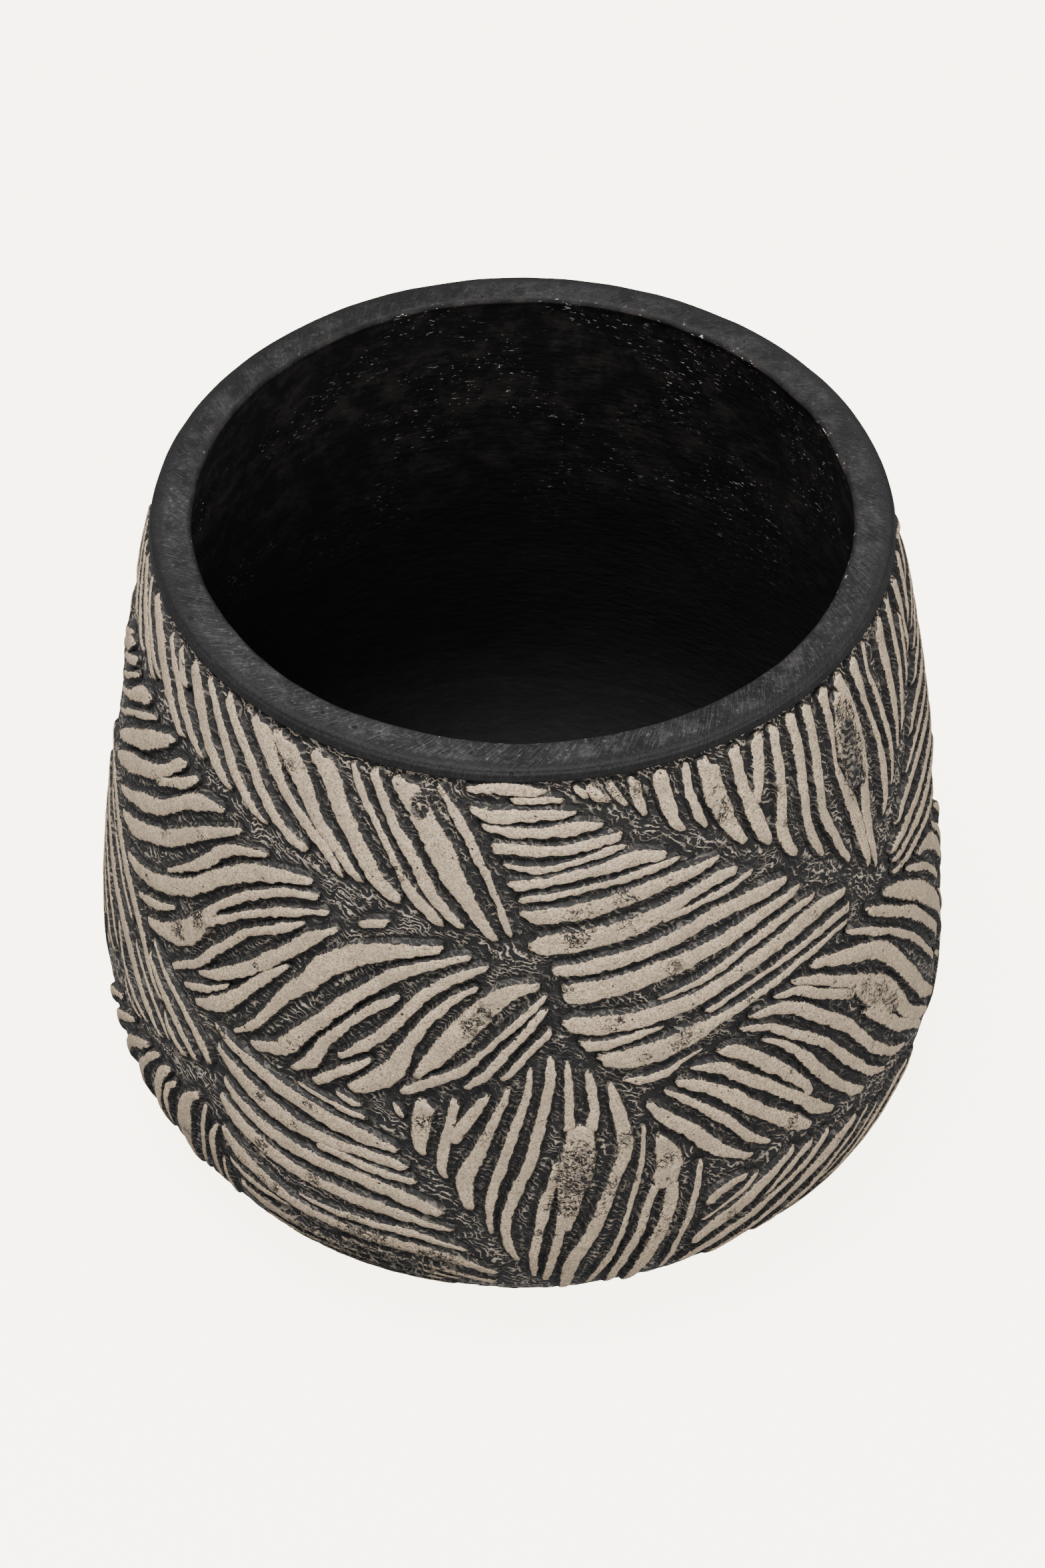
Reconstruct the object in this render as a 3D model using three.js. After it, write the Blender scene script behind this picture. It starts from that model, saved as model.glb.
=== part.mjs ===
// Coil-built black clay pot with carved leaf panels of pale slip.
// Millimetres, +Z up, the foot on z = 0 and the axis of the pot on x = y = 0.
// The clay is laid up as six courses, each one closed ring, and every slip panel is its own skin.
import * as THREE from 'three';

// ---- driving dimensions ----
const HEIGHT = 164;
const RIM_R = 75; // outer radius at the top edge
const BELLY_R = 95; // widest outer radius, over the slip
const BELLY_Z = 40.5; // height of the widest place
const FOOT_R = 62; // flat the pot stands on
const WALL = 8; // clay thickness of the wall
const FLOOR = 10; // clay thickness of the floor
const FLOOR_R = 66; // inside radius where the floor meets the wall
const DEGREE = (BELLY_R * Math.PI) / 180; // millimetres to a degree round the belly
const RELIEF = 1; // how far the slip stands above the carved ground
const SEAT = 0.35; // clearance between a slip panel and the ground under it
const LIP_Z = 161.6; // underside of the plain band round the mouth
const ROUND = 0.8; // rounding of the two mouth edges
const COURSES = [FLOOR, 31, 58, 106, 148, HEIGHT]; // heights where one clay course sits on the next
const SEGMENTS = 60; // facets round the pot
const FLAT_CELL = 9.5; // largest cell of a slip panel on the upper wall
const ROUND_CELL = 6.5; // and of one that reaches down round the belly

const pot = new THREE.Group();
pot.name = 'carved_pot';

const clay = () => new THREE.MeshStandardMaterial({ name: 'black_clay', color: 0x1c1b1b, roughness: 0.6 });
const slip = () => new THREE.MeshStandardMaterial({ name: 'cream_slip', color: 0xb0a08c, roughness: 0.85 });

// ---- the silhouette ----
// A quarter ellipse from the foot to the belly, then one cubic curve from the belly to the mouth.
function cubic(a, b, c, d, t) {
  const u = 1 - t;
  return u * u * u * a + 3 * u * u * t * b + 3 * u * t * t * c + t * t * t * d;
}

function outerRadius(z) {
  if (z < BELLY_Z) {
    const rise = (BELLY_Z - z) / BELLY_Z;
    return FOOT_R + (BELLY_R - FOOT_R) * Math.sqrt(Math.max(0, 1 - rise * rise));
  }
  let low = 0;
  let high = 1;
  for (let step = 0; step < 40; step += 1) {
    const middle = (low + high) / 2;
    if (cubic(BELLY_Z, 64.7, 140.9, HEIGHT, middle) < z) low = middle;
    else high = middle;
  }
  return cubic(BELLY_R, BELLY_R, 83, RIM_R, low);
}

const groundRadius = (z) => outerRadius(z) - RELIEF;

function innerRadius(z) {
  const turn = BELLY_Z + 1.5;
  if (z >= turn) return outerRadius(z) - WALL;
  const drop = (turn - z) / (turn - FLOOR);
  return FLOOR_R + (BELLY_R - WALL - FLOOR_R) * Math.sqrt(Math.max(0, 1 - drop * drop));
}

// ---- clay courses ----
// Each is a closed profile turned about Z; neighbours meet on one flat ring face.
function turned(name, points) {
  const geometry = new THREE.LatheGeometry(points.map(([r, z]) => new THREE.Vector2(r, z)), SEGMENTS);
  geometry.rotateX(Math.PI / 2);
  const mesh = new THREE.Mesh(geometry, clay());
  mesh.name = name;
  pot.add(mesh);
}

const outside = (heights) => heights.map((z) => [groundRadius(z), z]);
const inside = (heights) => heights.map((z) => [innerRadius(z), z]);

function wallCourse(name, outerHeights, innerHeights) {
  const profile = [...outside(outerHeights), ...inside(innerHeights)];
  turned(name, [...profile, profile[0]]);
}

turned('floor_slab', [[0, 0], ...outside([0, 0.5, 1.8, 4, 7, COURSES[0]]), [0, COURSES[0]]]);
wallCourse('foot_wall', [COURSES[0], 14, 19, 25, COURSES[1]], [COURSES[1], 24, 17, 12.5, COURSES[0]]);
wallCourse('belly_wall', [COURSES[1], BELLY_Z, 49, COURSES[2]], [COURSES[2], 42, COURSES[1]]);
wallCourse('shoulder_wall', [COURSES[2], 70, 82, 94, COURSES[3]], [COURSES[3], 82, COURSES[2]]);
wallCourse('neck_wall', [COURSES[3], 117, 128, 138, COURSES[4]], [COURSES[4], 127, COURSES[3]]);

const mouth = innerRadius(HEIGHT);
const rim = [
  ...outside([COURSES[4], 155, LIP_Z - 0.2]),
  [outerRadius(LIP_Z + 0.4), LIP_Z + 0.4],
  [RIM_R, HEIGHT - ROUND],
  [RIM_R - 0.3 * ROUND, HEIGHT - 0.3 * ROUND],
  [RIM_R - ROUND, HEIGHT],
  [mouth + ROUND, HEIGHT],
  [mouth + 0.3 * ROUND, HEIGHT - 0.3 * ROUND],
  [mouth, HEIGHT - ROUND],
  ...inside([156, COURSES[4]]),
];
turned('rim_coil', [...rim, rim[0]]);

// ---- slip panels ----
// A panel lies between two rails of points given as [azimuth in degrees, height]. Azimuth 0 faces -Y
// and grows towards +X. Its ribs run from the first rail to the second; bow bends the first and the
// last rib sideways, as a share of their length, near their start and near their end.
const PANELS = [
  ['top_left',
    [[-96, 160], [-80, 160.5], [-66, 161], [-56, 161], [-46, 161], [-33, 161], [-20, 161], [-9.5, 160]],
    [[-84, 147], [-66, 145], [-53, 142], [-40, 139.5], [-28, 135], [-17, 131.5], [-8, 128], [-1.5, 125.5]],
    [[-0.03, -0.05], [-0.04, -0.02]]],
  ['top_fan',
    [[-7, 161], [-5, 154], [-3, 147], [-1, 139], [0, 132], [2, 125], [4, 117], [5, 111],
      [6.5, 103], [9.5, 94]],
    [[4, 161], [11, 153], [16, 146], [24, 140], [31, 134], [38, 125], [42, 119], [47, 114], [50, 107],
      [49, 102.5]],
    [[0.03, -0.02], [-0.14, 0.16]]],
  ['top_right',
    [[10, 160], [20, 161], [32, 161], [42, 161], [50, 161], [57, 161], [64, 161], [74, 161], [88, 160.5]],
    [[15, 155], [23, 147], [35, 135.5], [45, 125], [54, 110], [59, 114], [65, 125], [72, 134], [84, 148]],
    [[-0.02, -0.06], [0.03, 0.05]]],
  ['mid_left',
    [[-90, 133], [-85, 120], [-80, 110], [-74, 102], [-66, 94], [-56, 86], [-46, 80]],
    [[-83, 140], [-70, 139.5], [-58, 138], [-45, 134], [-33, 130], [-27.5, 124], [-31, 109]],
    [[0, 0], [-0.05, 0.1]]],
  ['mid_centre',
    [[-39.5, 80.5], [-31, 80.5], [-24, 82], [-17, 85], [-9, 89], [-2.5, 92]],
    [[-12, 123], [-7, 121], [-1, 117.5], [2.5, 112], [3, 107], [3.5, 103]],
    [[0.08, 0.24], [0.05, 0.06]]],
  ['low_far_left',
    [[-59, 84], [-67, 91], [-76, 98], [-86, 103], [-94, 104]],
    [[-46, 68], [-51, 62], [-59, 59], [-69, 57], [-80, 55]],
    [[0.06, 0.06], [0, -0.05]]],
  ['low_left',
    [[-45, 78], [-44, 72], [-43.5, 65], [-43, 58], [-42, 49], [-41, 40], [-39.5, 32], [-37, 24]],
    [[-18, 70], [-15.5, 65], [-13, 58], [-11, 51], [-9, 44], [-6, 37], [-3.5, 30], [-3, 22]],
    [[0.06, 0.06], [-0.1, 0.05]]],
  ['low_centre',
    [[-15, 81], [-10, 83], [-5, 86], [0, 90], [4, 95], [8, 91], [12, 85], [17, 75], [23, 60]],
    [[-15, 72], [-12.5, 64], [-10, 58], [-6, 48], [-1, 35], [3, 23], [7, 15], [13, 15], [20, 19]],
    [[0, 0.05], [0.05, -0.02]]],
  ['low_right',
    [[16.5, 80], [21, 85], [26.5, 90], [33, 94], [41, 98], [50, 99.5], [60, 98.5], [70, 95],
      [79, 90], [87, 82]],
    [[29, 57], [36, 56], [44, 54], [52, 52], [60, 49], [67, 46], [76, 45.5], [87, 50], [95, 58], [98, 68]],
    [[0.04, -0.06], [0.08, 0.06]]],
  ['foot_left',
    [[-43.5, 47], [-48, 52.5], [-54, 52.5], [-60, 51], [-67, 49], [-75, 48]],
    [[-43, 18], [-48, 16], [-54, 16], [-61, 18], [-69, 20], [-79, 22]],
    [[0.03, 0], [0.1, 0.05]]],
  ['foot_right',
    [[24.5, 45], [23, 38], [22.5, 30], [25, 23], [32, 18], [43, 16]],
    [[30, 50], [36, 49.5], [43, 48], [51, 44], [60, 40.5], [72, 39]],
    [[0.06, 0.06], [-0.04, 0.02]]],
  ['right_fan',
    [[84, 141], [77, 131], [71, 123], [66, 116], [62, 110], [61, 105.5], [62, 102.5]],
    [[100, 150], [103, 140], [104, 130], [103, 121], [101, 112], [97, 103], [86, 96]],
    [[0.06, 0.06], [-0.02, -0.02]]],
  ['sliver', [[13, 88.4], [13.6, 86.6]], [[22, 90], [20, 87.4]], [[-0.02, 0], [-0.04, -0.03]]],
  ['back_top_right',
    [[94, 161], [108, 161], [122, 161], [136, 161], [150, 160.5]],
    [[110, 150], [119, 141], [131, 134], [143, 130], [153, 129]],
    [[-0.03, -0.05], [-0.05, -0.03]]],
  ['back_top_fan',
    [[154, 160], [156, 151], [158, 142], [160, 132], [163, 122], [167, 113]],
    [[176, 161], [184, 152], [190, 143], [197, 134], [202, 125], [205, 116]],
    [[0.04, -0.02], [-0.12, 0.14]]],
  ['back_top_left',
    [[184, 161], [198, 161], [212, 161], [226, 161], [240, 161], [256, 160.5]],
    [[193, 149], [204, 137], [214, 127], [226, 133], [239, 141], [256, 148]],
    [[-0.02, -0.05], [0.03, 0.04]]],
  ['back_mid_right',
    [[110, 137], [108, 126], [106, 114], [104, 103], [104, 93], [110, 85], [119, 80]],
    [[128, 130], [137, 128], [147, 125], [156, 120], [158, 110], [154, 99], [146, 91]],
    [[-0.04, 0.02], [-0.08, 0.08]]],
  ['back_mid_centre',
    [[167, 106], [161, 99], [155, 92], [151, 86], [154, 80]],
    [[191, 110], [201, 108], [207, 100], [204, 91], [196, 85]],
    [[0.04, 0.02], [-0.06, 0.02]]],
  ['back_mid_left',
    [[211, 84], [212, 93], [212, 103], [213, 113], [220, 122], [230, 128]],
    [[243, 86], [253, 93], [260, 104], [264, 116], [265, 127], [257, 137]],
    [[-0.1, 0.08], [-0.04, 0.08]]],
  ['back_low_right',
    [[96, 87], [100, 77], [102, 66], [101, 54], [100, 42], [101, 30], [104, 20]],
    [[120, 73], [128, 69], [129, 60], [127, 48], [123, 37], [119, 26]],
    [[0.04, 0.02], [-0.04, -0.02]]],
  ['back_low_centre',
    [[138, 81], [144, 76], [151, 71], [159, 66], [165, 60]],
    [[123, 20], [131, 16], [141, 15], [151, 16], [160, 20]],
    [[-0.03, 0.02], [0.04, 0.04]]],
  ['back_low_middle',
    [[171, 74], [170, 60], [168, 47], [167, 34], [167, 20]],
    [[196, 78], [203, 69], [205, 56], [204, 42], [201, 26]],
    [[-0.1, 0.08], [-0.14, 0.1]]],
  ['back_low_left',
    [[209, 77], [216, 78], [223, 78], [230, 78], [237, 77]],
    [[209, 32], [213, 20], [221, 15], [230, 16], [239, 20]],
    [[-0.03, 0.02], [0.03, 0.03]]],
  ['back_foot_right',
    [[79, 37], [80, 28], [83, 19]],
    [[95, 49], [97, 36], [97, 22]],
    [[0.06, 0.04], [-0.06, 0.02]]],
  ['back_foot_left',
    [[243, 79], [252, 86], [262, 94]],
    [[244, 19], [258, 16], [275, 19]],
    [[0.03, -0.02], [-0.03, 0.04]]],
];

// A smooth curve through the points of a rail, with the wall rolled out flat in millimetres.
function railCurve(rail) {
  const points = rail.map(([azimuth, z]) => new THREE.Vector3(azimuth * DEGREE, z, 0));
  return new THREE.CatmullRomCurve3(points, false, 'catmullrom', 0.5);
}

// The place on the rolled-out wall, s across the ribs and t along them.
function onPanel(first, second, bow, s, t) {
  const from = first.getPointAt(s);
  const to = second.getPointAt(s);
  const run = to.clone().sub(from);
  const early = THREE.MathUtils.lerp(bow[0][0], bow[1][0], s);
  const late = THREE.MathUtils.lerp(bow[0][1], bow[1][1], s);
  const side = 3 * t * (1 - t) * ((1 - t) * early + t * late);
  return new THREE.Vector2(from.x + t * run.x - side * run.y, from.y + t * run.y + side * run.x);
}

// A box grid bent onto the wall: its bottom stands SEAT above the ground, its top on the silhouette.
function slipPanel(name, firstRail, secondRail, bow) {
  const first = railCurve(firstRail);
  const second = railCurve(secondRail);
  const gaps = [0, 0.25, 0.5, 0.75, 1].map((s) => first.getPointAt(s).distanceTo(second.getPointAt(s)));
  const along = Math.max(...gaps);
  const across = Math.max(first.getLength(), second.getLength());
  const lowest = Math.min(...firstRail.concat(secondRail).map(([, z]) => z));
  const cell = lowest < BELLY_Z + 10 ? ROUND_CELL : FLAT_CELL;
  const columns = Math.max(2, Math.ceil(across / cell));
  const rows = Math.max(2, Math.ceil(along / cell));
  const geometry = new THREE.BoxGeometry(1, 1, 1, columns, rows, 1);
  const position = geometry.getAttribute('position');
  const mirrored = facesIn(first, second);
  for (let i = 0; i < position.count; i += 1) {
    const s = mirrored ? 0.5 - position.getX(i) : position.getX(i) + 0.5;
    const place = onPanel(first, second, bow, s, position.getY(i) + 0.5);
    const depth = (0.5 - position.getZ(i)) * (RELIEF - SEAT);
    const angle = THREE.MathUtils.degToRad(place.x / DEGREE);
    const radius = outerRadius(place.y) - depth;
    position.setXYZ(i, radius * Math.sin(angle), -radius * Math.cos(angle), place.y);
  }
  geometry.computeVertexNormals();
  const mesh = new THREE.Mesh(geometry, slip());
  mesh.name = `slip_${name}`;
  pot.add(mesh);
}

// True when the rails run so that the box has to be mirrored for its faces to point outwards.
function facesIn(first, second) {
  const across = first.getPointAt(0.75).sub(first.getPointAt(0.25));
  const along = second.getPointAt(0.5).sub(first.getPointAt(0.5));
  return across.x * along.y - across.y * along.x < 0;
}

for (const [name, first, second, bow] of PANELS) slipPanel(name, first, second, bow);

export default pot;
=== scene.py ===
import math

import bpy
import numpy as np
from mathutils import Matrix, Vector
from mathutils.kdtree import KDTree


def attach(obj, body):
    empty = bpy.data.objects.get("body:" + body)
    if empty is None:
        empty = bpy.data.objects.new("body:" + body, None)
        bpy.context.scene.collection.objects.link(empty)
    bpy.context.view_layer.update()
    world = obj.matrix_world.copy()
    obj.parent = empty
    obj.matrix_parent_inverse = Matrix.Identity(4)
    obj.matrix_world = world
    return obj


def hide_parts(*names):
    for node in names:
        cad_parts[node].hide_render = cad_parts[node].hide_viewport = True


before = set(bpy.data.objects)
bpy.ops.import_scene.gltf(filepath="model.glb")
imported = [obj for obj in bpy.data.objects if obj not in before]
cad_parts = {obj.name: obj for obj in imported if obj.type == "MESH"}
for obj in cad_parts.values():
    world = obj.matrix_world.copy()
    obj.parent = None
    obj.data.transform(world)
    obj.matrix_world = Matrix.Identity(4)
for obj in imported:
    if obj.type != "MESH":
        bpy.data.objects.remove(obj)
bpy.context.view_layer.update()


# ---- Slip panels ----
# Each is one leaf of the pattern: a coat of pale, sandy, matte slip brushed on the black clay and gouged
# into ribs, left standing between the cuts. Where a rib has rubbed thin, the black body shows.
class Wire:
    """A shader socket that Python arithmetic works on."""

    def __init__(self, tree, socket=None):
        self.tree = tree
        self.socket = socket

    def node(self, kind, inputs, settings=None, out=0):
        made = self.tree.nodes.new("ShaderNode" + kind)
        for key, value in (settings or {}).items():
            setattr(made, key, value)
        for key, value in inputs.items():
            if isinstance(value, Wire):
                self.tree.links.new(value.socket, made.inputs[key])
            else:
                made.inputs[key].default_value = value
        return Wire(self.tree, made.outputs[out])

    def maths(self, operation, first, second=0.0, clamp=False):
        return self.node("Math", {0: first, 1: second}, {"operation": operation, "use_clamp": clamp})

    def __add__(self, other):
        return self.maths("ADD", self, other)

    def __radd__(self, other):
        return self.maths("ADD", other, self)

    def __sub__(self, other):
        return self.maths("SUBTRACT", self, other)

    def __rsub__(self, other):
        return self.maths("SUBTRACT", other, self)

    def __mul__(self, other):
        return self.maths("MULTIPLY", self, other)

    def __rmul__(self, other):
        return self.maths("MULTIPLY", other, self)

    def __truediv__(self, other):
        return self.maths("DIVIDE", self, other)

    def least(self, other):
        return self.maths("MINIMUM", self, other)

    def most(self, other):
        return self.maths("MAXIMUM", self, other)

    def step(self, low, high):
        """0 at low, 1 at high and smooth between; low may be the larger."""
        inputs = {"Value": self, "From Min": low, "From Max": high}
        return self.node("MapRange", inputs, {"interpolation_type": "SMOOTHSTEP"})

    def blend(self, first, second):
        """The first colour where this is 0, the second where it is 1."""
        mixed = {"data_type": "RGBA", "clamp_factor": True}
        return self.node("Mix", {0: self, 6: first, 7: second}, mixed, out=2)

    def stretched(self, x, y, z):
        return self.node("VectorMath", {0: self, 1: (x, y, z)}, {"operation": "MULTIPLY"})

    def bent(self, size_mm, amount_mm):
        """This place pushed about by noise, so that cells lose their straight sides."""
        push = self.noise(size_mm, 2.0, colour=True)
        centred = self.node("VectorMath", {0: push, 1: (0.5, 0.5, 0.5)}, {"operation": "SUBTRACT"})
        scaled = self.node("VectorMath", {0: centred, "Scale": amount_mm / 500}, {"operation": "SCALE"})
        return self.node("VectorMath", {0: self, 1: scaled}, {"operation": "ADD"})

    def noise(self, size_mm, detail=2.0, rough=0.5, colour=False):
        inputs = {"Vector": self, "Scale": 1000 / size_mm, "Detail": detail, "Roughness": rough}
        return self.node("TexNoise", inputs, out=1 if colour else 0)

    def thread(self, width):
        """Winding lines, 1 along the middle value of a noise and 0 away from it."""
        return self.maths("ABSOLUTE", self - 0.5).step(width, width * 0.25)

    def cracks(self, size_mm):
        """Distance to the nearest wall between cells, 0 on the wall, in cell sizes."""
        inputs = {"Vector": self, "Scale": 1000 / size_mm}
        return self.node("TexVoronoi", inputs, {"feature": "DISTANCE_TO_EDGE"})

    def dots(self, size_mm):
        """Distance to the middle of the nearest cell, in cell sizes."""
        return self.node("TexVoronoi", {"Vector": self, "Scale": 1000 / size_mm}, {"feature": "F1"})


SOOT = (0.0150, 0.0143, 0.0140, 1)
CHARCOAL = (0.037, 0.0348, 0.0335, 1)
# CREST_HIGHLIGHT is a painted highlight: the lighter grey put on the crests of the ground's crinkles.
CREST_HIGHLIGHT = (0.150, 0.138, 0.122, 1)
THREAD = (0.60, 0.500, 0.385, 1)
SAND = (0.47, 0.355, 0.232, 1)
CREAM = (0.76, 0.582, 0.388, 1)
PALE_GRAIN = (0.95, 0.81, 0.61, 1)
DARK_GRAIN = (0.15, 0.115, 0.082, 1)
CLOUDED = (0.36, 0.290, 0.212, 1)
# THIN_SLIP_AND_SIDE_SHADE darkens the slip down a rib's sides: partly thinner slip, partly painted shade.
THIN_SLIP_AND_SIDE_SHADE = (0.22, 0.168, 0.115, 1)


def new_material(name):
    """A material, its nodes, its shader and the place on the object in metres."""
    material = bpy.data.materials.new(name)
    material.use_nodes = True
    tree = material.node_tree
    shader = tree.nodes["Principled BSDF"]
    place = Wire(tree).node("TexCoord", {}, out=3)
    return material, tree, shader, place


def finish_material(tree, shader, colour, roughness, height, distance_mm):
    """Plugs in the colour, the roughness and a relief this many mm deep."""
    bump = Wire(tree).node("Bump", {"Height": height, "Strength": 1.0, "Distance": distance_mm / 1000})
    for socket, value in (("Base Color", colour), ("Roughness", roughness), ("Normal", bump)):
        tree.links.new(value.socket, shader.inputs[socket])


def attribute(tree, name):
    """A number that the mesh carries at each of its corners."""
    return Wire(tree).node("Attribute", {}, {"attribute_name": name}, out=2)


def carved_ground(place, open_ground):
    """Colour, roughness and height of the black ground, crinkled by the gouge into broken threads whose
    crests carry a painted highlight and, here and there, caught slip;
    open_ground is 1 well away from any rib, where the threads are longest and the highlight and the slip
    show most."""
    warped = place.bent(1.9, 1.3)
    slope = {0: warped, 1: (600, 450, 750)}
    across_mm = warped.node("VectorMath", slope, {"operation": "DOT_PRODUCT"}, out=1)
    flow = across_mm * 4.6 + warped.noise(9.0, 1.0) * 42
    creases = flow.maths("SINE", flow).step(0.15, 0.90)
    broken = place.noise(1.7, 2.0).step(0.38, 0.50)
    crossing = place.bent(1.2, 1.0).noise(3.4, 1.0).thread(0.022)
    fine = place.noise(0.45, 3.0, 0.65)
    patches = place.noise(6.0, 2.0)
    lumps = place.noise(1.9, 2.0)
    # shown weakens the crests' painted highlight and caught slip in the narrow gaps near the ribs, so those
    # gaps are darker, partly as painted shade.
    shown = open_ground * 0.78 + 0.22
    crest = (creases * broken).most(crossing * 0.8)
    caught = crest * (patches * 0.75 + fine * 0.18 + open_ground * 0.36).step(0.50, 0.84)
    colour = (lumps.step(0.35, 0.7) * 0.7).blend(SOOT, CHARCOAL)
    # Painted highlight: the crests are painted a lighter grey, as if catching the light.
    colour = (crest * 0.80 * shown).blend(colour, CREST_HIGHLIGHT)
    colour = (caught * shown * 0.9).blend(colour, THREAD)
    roughness = 0.60 + fine * 0.2 - crest * 0.22
    height = crest * (0.55 + shown * 0.65) + fine * 0.14 + lumps * 0.30
    return colour, roughness, height


def slip_material():
    """Slip: lift is 1 on a rib's top and 0 at its root, wear grows where the slip has rubbed off."""
    material, tree, shader, place = new_material("cream_slip")
    lift = attribute(tree, "lift")
    wear = attribute(tree, "wear")
    ground, ground_rough, ground_height = carved_ground(place, wear.least(1.0) * 0.3 + 0.25)
    grain = place.noise(0.36, 2.0, 0.7)
    sand = place.noise(0.75, 3.0, 0.7)
    cloud = place.noise(14.0, 2.0) * 0.5 + place.noise(3.6, 3.0, 0.6) * 0.5
    colour = sand.step(0.36, 0.62).blend(SAND, CREAM)
    colour = (grain.step(0.51, 0.66) * 0.7).blend(colour, PALE_GRAIN)
    colour = (grain.step(0.48, 0.34) * 0.85).blend(colour, DARK_GRAIN)
    colour = (cloud.step(0.44, 0.62) * 0.45).blend(colour, CLOUDED)
    # Down a rib's sloping sides the slip is darker, partly thinner slip and partly painted shade.
    colour = (lift.step(1.0, 0.5) * 0.45).blend(colour, THIN_SLIP_AND_SIDE_SHADE)
    pit = place.bent(0.8, 0.5).dots(3.6).step(0.085, 0.05)
    rubbed = place.noise(2.6, 3.0, 0.6)
    lines = place.bent(1.5, 1.6).cracks(1.45).step(0.13, 0.05)
    torn = (wear * 0.17 + place.bent(1.0, 0.8).noise(0.95, 4.0, 0.68)).step(0.66, 0.76)
    crackle = lines * (wear * 0.42 + rubbed).step(0.70, 0.86)
    nibble = (place.noise(0.60, 2.0) - 0.5) * 1.5 + (place.noise(1.6, 1.0) - 0.5) * 1.0
    edge = (lift + nibble).step(0.46, 0.60)
    bare = pit.most(torn).most(crackle)
    kept = edge * (1 - bare)
    colour = kept.blend(ground, colour)
    roughness = ground_rough + kept * (0.86 - ground_rough)
    height = kept * (0.55 + sand * 0.3 + grain * 0.16) + (1 - kept) * ground_height * 0.4 - pit * 0.4
    finish_material(tree, shader, colour, roughness, height, 0.30)
    shader.inputs["Specular IOR Level"].default_value = 0.25
    return material


cream_slip = slip_material()

# The wall rises from a rounded foot to the belly and draws in to the mouth. Places on it are an azimuth
# in degrees, 0 at -Y and growing towards +X, a height, and a lift off the ribs' tops, in mm. Half way
# up the wall is GIRTH mm round, and the gouge cuts RELIEF mm deep.
HEIGHT, BELLY_Z, FOOT_R, BELLY_R, MOUTH_R = 164.0, 40.5, 62.0, 95.0, 75.0
RELIEF = 1.0
GIRTH = 565
turn = np.linspace(0, 1, 801)[:, None]
side = ((1 - turn) ** 3 * [BELLY_R, BELLY_Z] + 3 * turn * (1 - turn) ** 2 * [BELLY_R, 64.7]
        + 3 * turn ** 2 * (1 - turn) * [83, 140.9] + turn ** 3 * [MOUTH_R, HEIGHT])


def outer(z):
    """The wall's radius over the ribs' tops at this height, in mm."""
    z = np.asarray(z, float)
    drop = np.clip((BELLY_Z - z) / BELLY_Z, 0, 1)
    low = FOOT_R + (BELLY_R - FOOT_R) * np.sqrt(1 - drop ** 2)
    return np.where(z < BELLY_Z, low, np.interp(z, side[:, 1], side[:, 0]))


def lean(z):
    """How fast the radius grows with height."""
    return (outer(np.minimum(z + 0.25, HEIGHT)) - outer(np.maximum(z - 0.25, 0.6))) / 0.5


def mm_per_degree(z):
    return math.radians(1) * outer(z)


def on_wall(azimuth, z, lift):
    """Places in metres, this many mm out of the wall, square to it."""
    slope = lean(z)
    steep = np.sqrt(1 + slope ** 2)
    angle = np.radians(azimuth)
    radius = outer(z) + lift / steep
    height = z - lift * slope / steep
    return np.stack([radius * np.sin(angle), -radius * np.cos(angle), height], -1) / 1000


def smooth_noise(seed, x, period):
    """Soft noise between -1 and 1 along a line."""
    table = np.random.default_rng(seed).uniform(-1, 1, 512)
    t = np.asarray(x) / period
    cell = np.floor(t).astype(int)
    f = t - cell
    f = f * f * (3 - 2 * f)
    return table[cell % 512] * (1 - f) + table[(cell + 1) % 512] * f


def wall_noise(seed, azimuth, z, period):
    """Soft noise between -1 and 1 over the wall, closed on itself all the way round."""
    around = max(6, round(GIRTH / period))
    table = np.random.default_rng(seed).uniform(-1, 1, (around, 128))
    u = np.asarray(azimuth) % 360 / 360 * around
    v = np.asarray(z) / period + 20
    i, j = np.floor(u).astype(int), np.floor(v).astype(int)
    f, g = u - i, v - j
    f, g = f * f * (3 - 2 * f), g * g * (3 - 2 * g)

    def pick(a, b):
        return table[a % around, b % 128]

    return ((pick(i, j) * (1 - f) + pick(i + 1, j) * f) * (1 - g)
            + (pick(i, j + 1) * (1 - f) + pick(i + 1, j + 1) * f) * g)


# A rib is a line of (azimuth, height, width), blunt or pointed as its last widths say. Its side goes
# down in steps of (further out, lift, share of slip left), in mm.
ribs_cut = []
leaf_count = 0
RIB_SIDES = [(1.00, -1.75, 0), (0.62, -1.25, 0), (0.34, -0.80, 0), (0.13, -0.34, 0.12), (-0.06, -0.10, 0.5)]


def curve_through(knots, spacing):
    """Points every spacing mm along a smooth curve through (azimuth, height, width) knots."""
    knots = np.array(knots, float)
    scale = mm_per_degree(knots[:, 1])
    step = np.hypot(np.diff(knots[:, 0]) * (scale[1:] + scale[:-1]) / 2, np.diff(knots[:, 1]))
    at = np.concatenate([[0], np.cumsum(step)])
    slopes = np.diff(knots, axis=0) / step[:, None]
    tangents = np.empty_like(knots)
    tangents[0], tangents[-1] = slopes[0], slopes[-1]
    share = (step[1:] / (step[1:] + step[:-1]))[:, None]
    tangents[1:-1] = slopes[:-1] * share + slopes[1:] * (1 - share)
    s = np.linspace(0, at[-1], max(8, int(at[-1] / spacing)))
    k = np.clip(np.searchsorted(at, s, side="right") - 1, 0, len(step) - 1)
    h = step[k][:, None]
    t = ((s - at[k]) / step[k])[:, None]
    points = ((2 * t ** 3 - 3 * t ** 2 + 1) * knots[k] + (t ** 3 - 2 * t ** 2 + t) * h * tangents[k]
              + (3 * t ** 2 - 2 * t ** 3) * knots[k + 1] + (t ** 3 - t ** 2) * h * tangents[k + 1])
    return s, points


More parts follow.
